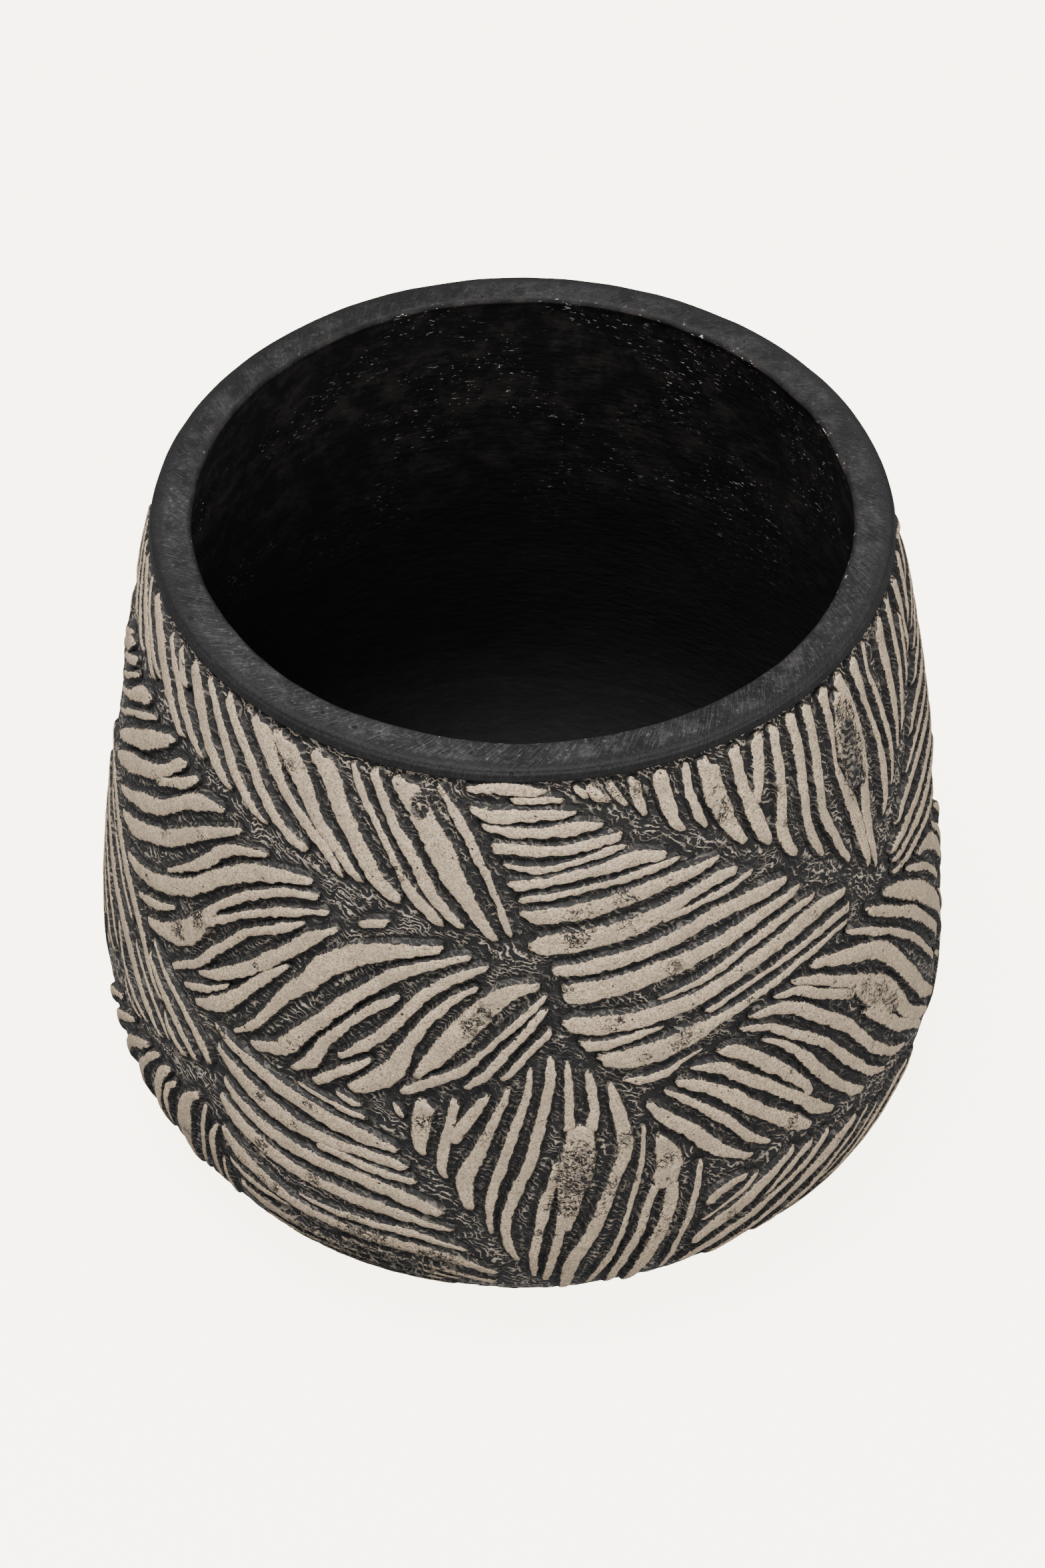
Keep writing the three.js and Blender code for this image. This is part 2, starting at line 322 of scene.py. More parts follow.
def rib(knots, seed):
    """Vertices, faces and lift of one rib: a closed bar that follows the wall, its root in the clay."""
    s, line = curve_through(knots, 0.5)
    azimuth, z, width = line.T
    length = s[-1]
    half = np.maximum(width, 0.5) / 2
    slant = np.random.default_rng(seed).uniform(-1.2, 1.2, 2)
    tip = np.clip(np.minimum(s, length - s) / 1.1, 0, 1)
    slope = lean(z)
    steep = np.sqrt(1 + slope ** 2)
    around = mm_per_degree(z)
    along = np.gradient(azimuth) * around, np.gradient(z) * steep
    size = np.hypot(*along)
    across = -along[1] / size, along[0] / size
    drift = 0.18 * smooth_noise(seed, s, 7.0)
    low = np.clip(half / 0.9, 0.45, 1) * (0.35 + 0.65 * tip)
    rings = []
    lifts = []
    for way in (-1, 1):
        shape = half
        for from_end, end_half, cut in ((s, half[0], slant[0]), (length - s, half[-1], slant[1])):
            reach = max(0.6, 0.62 * end_half)
            near = np.clip((from_end + way * cut * end_half * 0.9) / reach, 0, 1)
            shape = shape * (0.10 + 0.90 * (1 - (1 - near) ** 1.8))
        rough = 1 + 0.9 * np.clip(-way * across[1], 0, 1)
        ragged = 0.16 * smooth_noise(seed + 7 + way, s, 1.15) * rough
        ragged = ragged + 0.17 * smooth_noise(seed + 3 + way, s, 4.2)
        edge = np.maximum(shape + (0.12 + ragged * np.clip(half / 0.7, 0.25, 1)) * tip, 0.10)
        columns = []
        for out, level, lift in RIB_SIDES:
            columns.append((way * (edge + out * (0.5 + 0.5 * tip)) + drift, (level + 1) * low - 1, lift))
        for share, level in ((0.80, -0.03), (0.46, 0.05), (0.15, 0.075)):
            columns.append((way * edge * share + drift, (level + 1) * low - 1, 1))
        rings.append(columns if way == -1 else columns[::-1])
    marks = []
    for u, level, lift in rings[0] + rings[1]:
        there = azimuth + u * across[0] / around
        height = z + u * across[1] / steep
        dent = 0.05 * wall_noise(5, there, height, 1.7) + 0.06 * wall_noise(6, there, height, 5.0)
        lifts.append(on_wall(there, height, level + dent * lift))
        marks.append((lift * (0.45 + 0.55 * tip), there, height))
    places = np.stack(lifts, 1)
    lift, azimuths, heights = np.stack(marks, 2)
    rows, columns = lift.shape
    index = np.arange(rows * columns).reshape(rows, columns)
    faces = []
    for c in range(columns):
        d = (c + 1) % columns
        faces.append(np.stack([index[:-1, c], index[1:, c], index[1:, d], index[:-1, d]], 1))
    ends = [list(index[0]), list(index[-1][::-1])]
    ribs_cut.append(np.stack([azimuth, z, half], 1))
    return places.reshape(-1, 3), np.concatenate(faces).tolist() + ends, lift, azimuths, heights


def new_piece(name, vertices, faces, material, values=None):
    """A smooth piece of the pot with numbers for its material at each corner."""
    mesh = bpy.data.meshes.new(name)
    mesh.from_pydata(np.asarray(vertices).tolist(), [], faces)
    mesh.update()
    mesh.shade_smooth()
    for key, numbers in (values or {}).items():
        layer = mesh.attributes.new(key, "FLOAT", "POINT")
        layer.data.foreach_set("value", np.asarray(numbers, np.float32))
    mesh.materials.append(material)
    piece = bpy.data.objects.new(name, mesh)
    bpy.context.scene.collection.objects.link(piece)
    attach(piece, "root")
    return piece


def slip_leaf(name, ribs, worn=(), rings=()):
    """One leaf of ribs; worn lists (azimuth, height, radius in mm, how much) where it has rubbed off and
    rings lists (azimuth, height, radius) of dark rings round a spot that held."""
    global leaf_count
    leaf_count += 1
    vertices, faces, lifts, wears = [], [], [], []
    count = 0
    for number, knots in enumerate(ribs):
        places, quads, *marks = rib(knots, leaf_count * 100 + number)
        lift, azimuths, heights = (mark.ravel() for mark in marks)
        wear = np.zeros(len(places))
        for azimuth, z, radius, amount in worn:
            far = np.hypot((azimuths - azimuth) * mm_per_degree(z), heights - z) / radius
            wear += amount * np.exp(-far ** 2)
        for azimuth, z, radius in rings:
            far = np.hypot((azimuths - azimuth) * mm_per_degree(z) * 1.8, heights - z) / radius
            wear += 4.5 * np.exp(-((far - 0.85) / 0.3) ** 2)
        vertices.append(places)
        faces += [[corner + count for corner in face] for face in quads]
        lifts.append(lift)
        wears.append(wear)
        count += len(places)
    values = {"lift": np.concatenate(lifts), "wear": np.concatenate(wears)}
    piece = new_piece("leaf_" + name, np.concatenate(vertices), faces, cream_slip, values)
    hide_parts("slip_" + name)


# Top left: long ribs slanting down to the right from the mouth, one of them split, one with a knot.
slip_leaf("top_left", [
    [(-96, 158, 2), (-91, 151, 2.4), (-86, 146.5, 1)],
    [(-91, 160, 2), (-86.5, 153.5, 2.2), (-82, 147.5, 2), (-80, 144.6, 1)],
    [(-86, 160.2, 1.6), (-84, 157, 2), (-79.7, 150.6, 2.4), (-77, 147, 2.2), (-73.5, 144, 1)],
    [(-82.5, 160.3, 2.4), (-77, 154, 3.2), (-73.5, 150, 3.2), (-70, 146.3, 2.8), (-67.6, 144, 1.2)],
    [(-77.8, 160.2, 1.2), (-74.5, 155, 1.8), (-71.5, 151.5, 1.9), (-68.5, 148.5, 1.9), (-65.6, 146.2, 1)],
    [(-73.2, 160.6, 3), (-70, 156.8, 4.2), (-67.2, 153.7, 4.4), (-64.7, 150.6, 3.8), (-62.5, 147.4, 3.3),
     (-60, 144.6, 3), (-56.5, 141.6, 1.4)],
    [(-65.4, 159, 1.4), (-62.5, 155, 2.2), (-59.6, 151.4, 2.8), (-57, 147.5, 3), (-54.5, 144.2, 2.4),
     (-51.5, 141.3, 1.3)],
    [(-61.8, 159.4, 1.4), (-59.8, 155.8, 2.6), (-58.2, 152, 2.4)],
    [(-57.6, 160.2, 2.6), (-55.2, 155.4, 3.5), (-53.3, 151.5, 3.7), (-51.1, 147.3, 3.4), (-48.6, 143.8, 3),
     (-45, 139.8, 1.2)],
    [(-53.2, 160.2, 1.8), (-50.3, 155.2, 2.6), (-47.7, 150.5, 2.7), (-44.8, 145.2, 2.6),
     (-41.4, 140.6, 2.2), (-38, 137.4, 1)],
    [(-48.8, 160.3, 2.2), (-45.2, 154.6, 2.6), (-42.3, 150, 2.7), (-39.6, 145.2, 2.6), (-36.3, 140.6, 2.5),
     (-33, 137.4, 2.2), (-30.8, 136.4, 1.5)],
    [(-42.2, 160.3, 4.6), (-39, 155, 4.6), (-36.6, 149.9, 2.7), (-33.3, 145.2, 2.4), (-29.7, 140.6, 2.6),
     (-26.7, 136.5, 2.2), (-25, 133.2, 1)],
    [(-37.6, 160.3, 5.4), (-35, 155.4, 5), (-32.5, 151.2, 4), (-29.7, 145.2, 3), (-26.5, 140.6, 2.6),
     (-23.8, 135.9, 1.9), (-22.2, 133.5, 0.9)],
    [(-30.8, 160.3, 4.4), (-27.8, 154.6, 4.3), (-26.2, 149.9, 3.8), (-24.4, 145.2, 4), (-22.4, 140.6, 3.8),
     (-20.2, 135.9, 3.3), (-17.8, 132.8, 2.9), (-16.7, 131, 1.4)],
    [(-25.4, 160, 1.1), (-23.2, 154.6, 1.4), (-21.2, 149.9, 1.4), (-19.4, 145.2, 1.5), (-17.6, 140.6, 1.7),
     (-16.4, 137, 1.7), (-14.2, 132.8, 2.4), (-12, 129.6, 2.2), (-10.6, 127.4, 1)],
    [(-21.9, 160.2, 1.9), (-20.1, 154.6, 1.9), (-18.4, 150, 2.1), (-16.3, 145.2, 2.6), (-14.4, 140.6, 2.7),
     (-12.5, 135.9, 2.7), (-10.2, 131.2, 2.2), (-7.8, 127.4, 1)],
    [(-17.6, 160.3, 5.2), (-15, 154.6, 5), (-13.3, 149.9, 5), (-11.4, 145.2, 5.4), (-10, 140.6, 5.1),
     (-7.8, 135.9, 3.8), (-6.2, 131.2, 2.5), (-4.1, 126.5, 1.6), (-3.3, 124.8, 0.9)],
    [(-12.5, 159.6, 0.9), (-9.8, 155, 1.4), (-8, 150.5, 2), (-6.3, 145.3, 1.8), (-4.6, 139.6, 1.5),
     (-3.3, 134.3, 1.4), (-2.2, 129.5, 1.3), (-1.4, 126, 0.8)],
], worn=[(-35.5, 154, 3.4, 0.9), (-17.2, 138, 3, 0.8), (-59, 157, 2.5, 0.6),
         (-33, 142, 2, 0.5), (-12.5, 158, 2.6, 1)], rings=[(-14.5, 154.6, 2.3)])

# Top centre: a fan of level ribs under the mouth that grow longer and bend like an S lower down.
slip_leaf("top_fan", [
    [(-8.4, 159.2, 1), (-4, 160, 2), (0, 160.1, 2.3), (3.6, 159.3, 1.1)],
    [(-2, 157.3, 1.1), (2.5, 157.6, 1.5), (6, 157.2, 0.9)],
    [(-7.6, 155.7, 0.9), (-5.5, 154.6, 2.2), (0, 154.3, 2.7), (5, 154.3, 1.9), (7.8, 154.2, 0.9)],
    [(-6, 151.8, 0.9), (-3, 151, 1.9), (2, 150.7, 2.1), (7, 151.2, 3), (11.5, 151.2, 1.2)],
    [(-4.4, 147.2, 2.1), (0, 146.8, 2.5), (4, 146.4, 2), (10, 147.4, 2.2), (14.2, 148.4, 1.7)],
    [(-2.8, 142.9, 1), (3, 142.3, 1.4), (8.5, 143.8, 1.3), (12.5, 145.4, 1.4), (14.7, 145.3, 0.8)],
    [(-2.2, 138.4, 2.5), (4, 139.6, 2), (10, 141.2, 2.4), (16, 142.4, 3.4), (20.5, 141.4, 1.7)],
    [(-0.8, 135.2, 1.4), (6, 136.4, 1.5), (14, 138, 1.3), (20, 139.5, 1.5), (22.3, 139.7, 0.8)],
    [(-0.4, 131.2, 2.7), (3, 131.4, 3.5), (9, 132.3, 4), (16, 134.2, 3.5), (23, 135.9, 2.7),
     (28.3, 136.6, 0.9)],
    [(0.8, 124.8, 3), (3, 124.5, 4.6), (8, 124.9, 5), (14, 126.4, 4.4), (19, 128.4, 3.8), (24, 131, 2.7),
     (28, 132.3, 2.7), (30.9, 132.2, 1.4)],
    [(18.5, 126.6, 2), (24, 127.5, 1.5), (29, 128.8, 1.6), (33.3, 130.1, 1.2)],
    [(3.8, 118, 2), (8, 118.2, 3.2), (14, 119.3, 3.4), (20, 121, 3.4), (26, 123.3, 3.5), (32, 124, 3.3),
     (36, 124.1, 3), (38.8, 124, 1.5)],
    [(5, 112.3, 3.6), (7, 111.9, 5.2), (12, 112.6, 5), (18, 113.9, 4.7), (24, 115.5, 4.1), (30, 117.6, 3.5),
     (36, 119.2, 2.8), (41, 120.1, 0.9)],
    [(18, 106.4, 0.6), (23, 108, 1.4), (28, 110.6, 2), (33, 113.4, 2.2), (38, 115, 2.2), (43.6, 115.1, 1)],
    [(5.2, 105.5, 2.2), (8, 103.8, 4.3), (14, 103.2, 4.4), (20, 103.7, 4.1), (26, 105.3, 3.8),
     (32, 107.8, 3.7), (38, 110.3, 4), (44, 111.4, 3.6), (49.6, 110.1, 1.3)],
    [(7.2, 98.4, 2.2), (10, 98.1, 2.6), (15, 98.7, 1.6), (18.8, 99.1, 0.8)],
    [(24.5, 99.6, 1.4), (31, 102.3, 1.1), (37, 104, 1.4), (43, 105.3, 2), (50, 105.6, 1.9)],
    [(9.6, 94.2, 2.6), (13, 93.3, 4.8), (18, 93.7, 5.3), (23, 95.4, 4.7), (27, 97.1, 3), (33, 98.9, 2),
     (40, 101.2, 1.9), (46, 102.1, 1.6), (49.5, 102, 1)],
], worn=[(8, 131.5, 4.5, 0.75), (14, 133.2, 3.5, 0.7), (7, 125.3, 3, 1.15), (14, 127, 3.5, 0.6),
         (20.5, 114.4, 3, 0.9), (6, 113.5, 1.7, 0.9), (12, 103.6, 3, 0.8), (21, 95.2, 4, 0.9),
         (15.6, 93.5, 2, 0.6), (42.5, 110.8, 2, 0.7), (36, 109.5, 2, 0.5), (31, 98.4, 1.2, 0.9)])

# Top right: upright ribs under the mouth that end along a V; between the middle two the slip is gone.
slip_leaf("top_right", [
    [(7.2, 160, 1), (8.6, 158.3, 1.4), (9.6, 157.2, 0.9)],
    [(9.3, 160.2, 1.6), (10.6, 157.8, 1.9), (12.8, 155.8, 1)],
    [(12.1, 160.2, 1.4), (13.3, 157.4, 1.6), (15, 154, 0.9)],
    [(16.1, 160.3, 2.2), (16.4, 156, 2), (17, 153, 1.5), (17.7, 150.9, 0.8)],
    [(19.8, 160.3, 3), (20.3, 155, 3.2), (21.3, 149.5, 2.4), (23.3, 145.3, 0.9)],
    [(23.9, 160.3, 1.6), (24.3, 153, 1.7), (25.4, 148, 1.6), (26.5, 144.3, 0.9)],
    [(27.4, 160.3, 4), (28, 153, 4.3), (29.2, 147, 3.9), (30.5, 141.5, 2.8), (32.5, 137.2, 1.4)],
    [(31.7, 160.3, 2.6), (32.3, 153, 2.4), (33.2, 147, 2.4), (34, 143, 3.3), (35.2, 137.5, 2.4),
     (36.6, 133.8, 0.9)],
    [(35.9, 160.3, 2.8), (35.7, 154, 2.6), (35.2, 149, 2), (34.4, 144.6, 1.6)],
    [(39.1, 160.3, 2), (39.2, 152, 2.1), (38.9, 143, 2.3), (38.6, 136, 2.6), (39.3, 131.5, 2.4),
     (41, 127.5, 1)],
    [(42.2, 160.3, 2.2), (42.9, 152, 2.3), (43, 143, 2.5), (43.1, 135, 2.2), (44, 129, 1.8),
     (45.9, 122.4, 0.8)],
    [(45.7, 160.3, 2.2), (46.1, 152, 2.2), (46.1, 143, 2.4), (46.3, 134, 2.3), (47.6, 127, 2.1),
     (49.3, 120.5, 1.7), (51, 115.6, 0.9)],
    [(49.5, 160.3, 2.8), (49.9, 155, 2), (50.3, 148, 1.2), (50.4, 140, 1.3), (51.3, 134, 2.6),
     (52.6, 128, 3), (53.7, 120, 2.8), (54.6, 113, 1.8), (55, 109.5, 0.8)],
    [(53, 160.3, 2.4), (54.2, 156, 2.4), (55.5, 150, 1.6), (56.3, 142, 2), (56.3, 135, 2.2),
     (55.6, 129, 3), (55.5, 122, 2.8), (56, 115, 2), (56.9, 107, 0.9)],
    [(52.2, 157, 2), (53, 151, 5.6), (53.4, 143, 6.6), (53.7, 136, 5), (54, 131.5, 2)],
    [(57.3, 160.3, 2.8), (58, 155, 2.2), (59, 149, 1.6), (60, 142.5, 1.5), (60.8, 134, 2), (61, 128, 2.6),
     (60.7, 122, 2), (60.1, 117, 0.8)],
    [(61.5, 160.3, 1.2), (61.5, 154, 1), (62.2, 148, 1.3), (63.2, 140, 1.7), (64.2, 133, 1.6),
     (64.3, 127, 1.2), (63.5, 121, 0.7)],
    [(66.8, 160.3, 3.5), (66.7, 153, 3.4), (66.9, 146, 3), (67.1, 138, 2.4), (67.2, 131, 1.4),
     (67, 126.5, 0.7)],
    [(71.4, 160.3, 2), (71.4, 152, 2.2), (71.4, 144, 2), (70.5, 137, 2.2), (69.4, 132, 1.6),
     (68.9, 128.5, 0.8)],
    [(76.7, 160.3, 3), (76.9, 154, 2.8), (77.4, 148, 1.5), (77.5, 143, 1.6), (77, 139.5, 0.8)],
    [(75.9, 152, 1.4), (74.7, 145, 1.8), (74.2, 138, 1.4), (74, 135.5, 0.8)],
    [(82.2, 160.3, 3), (82, 154, 3), (81, 148, 2), (80.2, 143, 0.8)],
    [(87, 160.3, 2.2), (86, 154, 2), (84.5, 149, 0.9)],
], worn=[(52.8, 153, 3, 1.1), (53.3, 147, 3.4, 1.8), (53.5, 141, 3.6, 1.8), (53.7, 135.5, 3.2, 1.6),
         (54, 132, 2.6, 1), (29.3, 147, 4, 0.85), (28.6, 154, 2.5, 0.6), (12, 158.5, 4, 0.7),
         (17, 158, 4, 0.6),
         (39, 146, 2.5, 0.7), (39, 137, 1.5, 0.9), (66.9, 156.5, 2.6, 0.7), (55, 134, 2, 0.7)])

# Middle left: long ribs climbing to the right, crossing the shoulder; two of them are rubbed.
slip_leaf("mid_left", [
    [(-92, 129, 1), (-88, 131.5, 2), (-84, 136, 2.2), (-82, 139, 1)],
    [(-90, 126, 1.4), (-84.3, 133.6, 2.6), (-82, 136.6, 3), (-79.6, 139.4, 1.6)],
    [(-88, 124, 0.9), (-84, 130, 1.4), (-80, 134.5, 2), (-75.8, 139.3, 1.4)],
    [(-87, 121, 0.8), (-83, 126, 1), (-78.5, 132, 1.3), (-74.2, 137.2, 0.8)],
    [(-85, 119, 0.9), (-82, 123.2, 1.2), (-75.5, 130.5, 2.1), (-72, 135.3, 3), (-69.5, 138, 3.3),
     (-67.8, 139.2, 1.7)],
    [(-83, 116, 0.8), (-75.5, 125.5, 1.4), (-69, 133, 1.5), (-65.3, 136.8, 0.8)],
    [(-79.5, 114, 1.4), (-73.5, 121.5, 3.5), (-67, 129, 4.1), (-62.5, 134.5, 3.3), (-59, 138.7, 1.4)],
    [(-79.2, 108.5, 1.4), (-74, 114, 3.8), (-68, 120.5, 4.2), (-63, 125.8, 2.8), (-59.5, 130.5, 2.2),
     (-57, 134.5, 2.6), (-55.4, 136.8, 1.5)],
    [(-52.2, 136.2, 1.4), (-55, 131.7, 2.2), (-58.5, 128, 2.1), (-62.5, 123.6, 1.6)],
    [(-75.5, 104.6, 1.2), (-69, 111, 2.8), (-63.5, 116, 4), (-58.5, 122, 3), (-54.5, 127.4, 3.1),
     (-50.5, 131.6, 3.5), (-46, 134.2, 1.6)],
    [(-73, 101.1, 1.3), (-67, 104.5, 4.6), (-62.5, 109.3, 3.6), (-56.5, 115.5, 3.8), (-52.5, 121, 3.3),
     (-47, 127.8, 2.6), (-42.3, 132.3, 1.1)],
    [(-57.5, 105.5, 0.7), (-52.5, 112, 1.6), (-48.3, 118.7, 2.4), (-45, 124.5, 2.6), (-41, 128.6, 2),
     (-37.2, 130.3, 1)],
    [(-69, 94.5, 2.2), (-63, 97.3, 3.4), (-56.8, 102.8, 3.8), (-50.5, 109.5, 3.8), (-46, 116.5, 3.8),
     (-41.5, 122.6, 4), (-36, 127, 3.7), (-29.7, 129.8, 1.6)],
    [(-64.8, 89.3, 1), (-59, 94.2, 2.2), (-54.5, 99, 0.8)],
    [(-61, 87, 1.4), (-56, 90.3, 4), (-51.5, 95.5, 5.6), (-48.6, 101.5, 4.3), (-47, 106, 2.6),
     (-44, 112, 1.9), (-39.5, 118.5, 1.9), (-34, 124, 2), (-28.6, 126.8, 1.5)],
    [(-47.8, 102.6, 2), (-43, 109.3, 1.6), (-38, 115.3, 1.7), (-32.5, 120.2, 1.8), (-26.8, 123.7, 1)],
    [(-54.2, 82.7, 1.2), (-48.5, 91, 1.8), (-44.3, 100, 1.8), (-39, 109.5, 1.8), (-34, 115, 1.9),
     (-30.5, 118.7, 0.9)],
    [(-48.7, 87.8, 0.8), (-42.5, 94.8, 2.9), (-38, 101.5, 3.1), (-34, 108, 3), (-29.5, 115.5, 2.6),
     (-25.4, 120.7, 1.2)],
    [(-51.4, 81.2, 1.2), (-46.5, 86, 1.6), (-42.4, 91.6, 0.7)],
    [(-48.5, 79.3, 1.4), (-43.3, 85.5, 3.8), (-40, 92, 2.9), (-36.5, 99.5, 2.2), (-32.6, 106.2, 1)],
    [(-22.6, 122.9, 1.2), (-20.5, 124.8, 2.1), (-18, 126, 1.3)],
], worn=[(-48.8, 102.5, 3, 1.3), (-52.8, 95, 3.2, 1.1), (-58, 115, 2.6, 0.8), (-55, 101.5, 1.8, 0.8),
         (-50.5, 124, 2.6, 0.7), (-57.5, 128.3, 2.4, 0.7), (-62, 98.5, 1.5, 0.8), (-37.6, 102, 1, 1),
         (-67, 130.5, 2, 0.5), (-62, 125, 2.5, 0.7)])

# Middle centre: a short leaf of ribs in the same lie, the last ones thin and close together.
slip_leaf("mid_centre", [
    [(-41.2, 79.6, 1), (-37.3, 86.1, 1.8), (-34.8, 92.7, 2.2), (-32, 99.9, 3.1), (-29.2, 105, 4),
     (-26.8, 110.5, 4.9), (-22.4, 116, 5), (-16.5, 119.8, 3.7), (-10.5, 122.2, 1.5)],
    [(-38, 79.4, 2), (-32.6, 84.4, 3.8), (-29.8, 90.5, 3.5), (-27, 96.4, 3.1), (-23.5, 103.3, 2.9),
     (-20.1, 109.3, 2.8), (-16, 114.6, 2.7), (-12, 118, 2.4), (-6.7, 121, 1.1)],
    [(-31.7, 79, 1), (-28.3, 84.3, 3.2), (-26.4, 90.5, 2.4), (-24.2, 95.8, 1.8), (-21.4, 101.4, 1.6),
     (-18.3, 106.1, 1.9), (-16.4, 108.3, 1.2)],
    [(-28.2, 78.4, 1.6), (-24.5, 83.6, 2.4), (-22, 87, 1.8), (-19.8, 90.2, 0.8)],
    [(-24.8, 87.7, 1.4), (-20.8, 93.6, 2.4), (-17.6, 99.3, 2.5), (-15.1, 104.9, 2.3), (-13.2, 109.3, 2.4),
     (-9.5, 114.6, 2.4), (-4.5, 118.9, 1.2)],
    [(-22.9, 79.8, 2), (-18.9, 85, 4.8), (-16.3, 90.5, 4.3), (-14.8, 96.1, 3.1), (-13.2, 101.4, 2.4),
     (-10.7, 107.1, 2), (-8.2, 111.1, 1.6), (-5.8, 113.6, 0.8)],
    [(-14.2, 87.4, 1), (-12, 92.7, 3.4), (-9.6, 98.3, 5), (-7.3, 103.6, 5.6), (-4.8, 108.6, 5),
     (-2, 112.4, 4),
     (2.4, 114.6, 1.5)],
    [(-16.1, 82.7, 1.2), (-12.3, 87.2, 2.4), (-8.3, 91.1, 2), (-5.8, 95.2, 1.6), (-3.3, 100.5, 1.5),
     (-0.4, 105.5, 1.6), (1.7, 109.3, 1.4), (3.2, 111.9, 0.9)],
    [(-7.6, 86.4, 1), (-5.1, 90.5, 2), (-2.9, 95.2, 2), (-0.8, 99.9, 2), (1.4, 104.9, 2),
     (3.2, 108.6, 1.2)],
    [(-2.9, 89.3, 1), (-0.8, 93.3, 1.4), (1.4, 98.3, 1.5), (3, 101.4, 1.4), (3.8, 103.3, 0.8)],
], worn=[(-5.2, 107, 3, 1.2), (-6.8, 102.5, 2.4, 1), (-31.6, 86.5, 2.6, 0.7), (-9, 96, 3, 0.4)])

# Far left: a band of ribs falling to the right round the side, coarser and further apart.
slip_leaf("low_far_left", [
    [(-59.1, 83.8, 1), (-54.5, 78.8, 2), (-50, 73.8, 2.2), (-47, 70, 2.4), (-44.7, 65.5, 1.5)],
    [(-60, 79, 1.6), (-55.8, 73.4, 2.6), (-52, 68.8, 2.8), (-47.4, 63, 1.5)],
    [(-88, 106, 1.4), (-80, 102, 3), (-74.5, 96.8, 3.8), (-69.5, 91.3, 4), (-65.3, 86, 3.4),
     (-62, 81.3, 2.8), (-58.7, 73.8, 1.9), (-55.9, 69.4, 1.2)],
    [(-55.5, 67.5, 1), (-53, 64, 2), (-50, 61, 1.1)],
    [(-64.5, 75.5, 1.1), (-60.3, 70.5, 1.6), (-56.6, 65.5, 1.6), (-53.9, 60.2, 0.9)],
    [(-90, 94, 2), (-83.7, 89.7, 4), (-78.3, 84.3, 4.3), (-73.3, 79.7, 4.3), (-68.7, 75, 4.4),
     (-64.5, 69.7, 3.8), (-61, 64.7, 3), (-55.5, 58.6, 1.2)],
    [(-84, 97.5, 0.9), (-76, 92, 1.6), (-70, 85, 1.6), (-65.8, 79, 0.9)],
    [(-71.5, 71, 1), (-69.5, 67.5, 1.6), (-67, 62.2, 1.7), (-63.3, 59.3, 1.8), (-59.7, 57, 1)],
    [(-68.3, 58.5, 1), (-65.3, 55.4, 1.3), (-62, 54.7, 0.9)],
    [(-86, 83, 1.6), (-82.5, 79, 2.2), (-77.5, 73.7, 2.4), (-73.5, 68, 2), (-71, 62, 1)],
    [(-92, 82, 1.6), (-86.5, 75.5, 2.4), (-81, 69, 2.6), (-76, 61, 2), (-73, 57, 1)],
    [(-94, 73, 1.4), (-88, 66.5, 2.2), (-83, 59.5, 1.8), (-80.5, 56, 0.9)],
], worn=[(-76, 91, 4, 0.7), (-70, 68, 4, 0.6), (-66, 60, 4, 0.7), (-80, 76, 4, 0.5)])

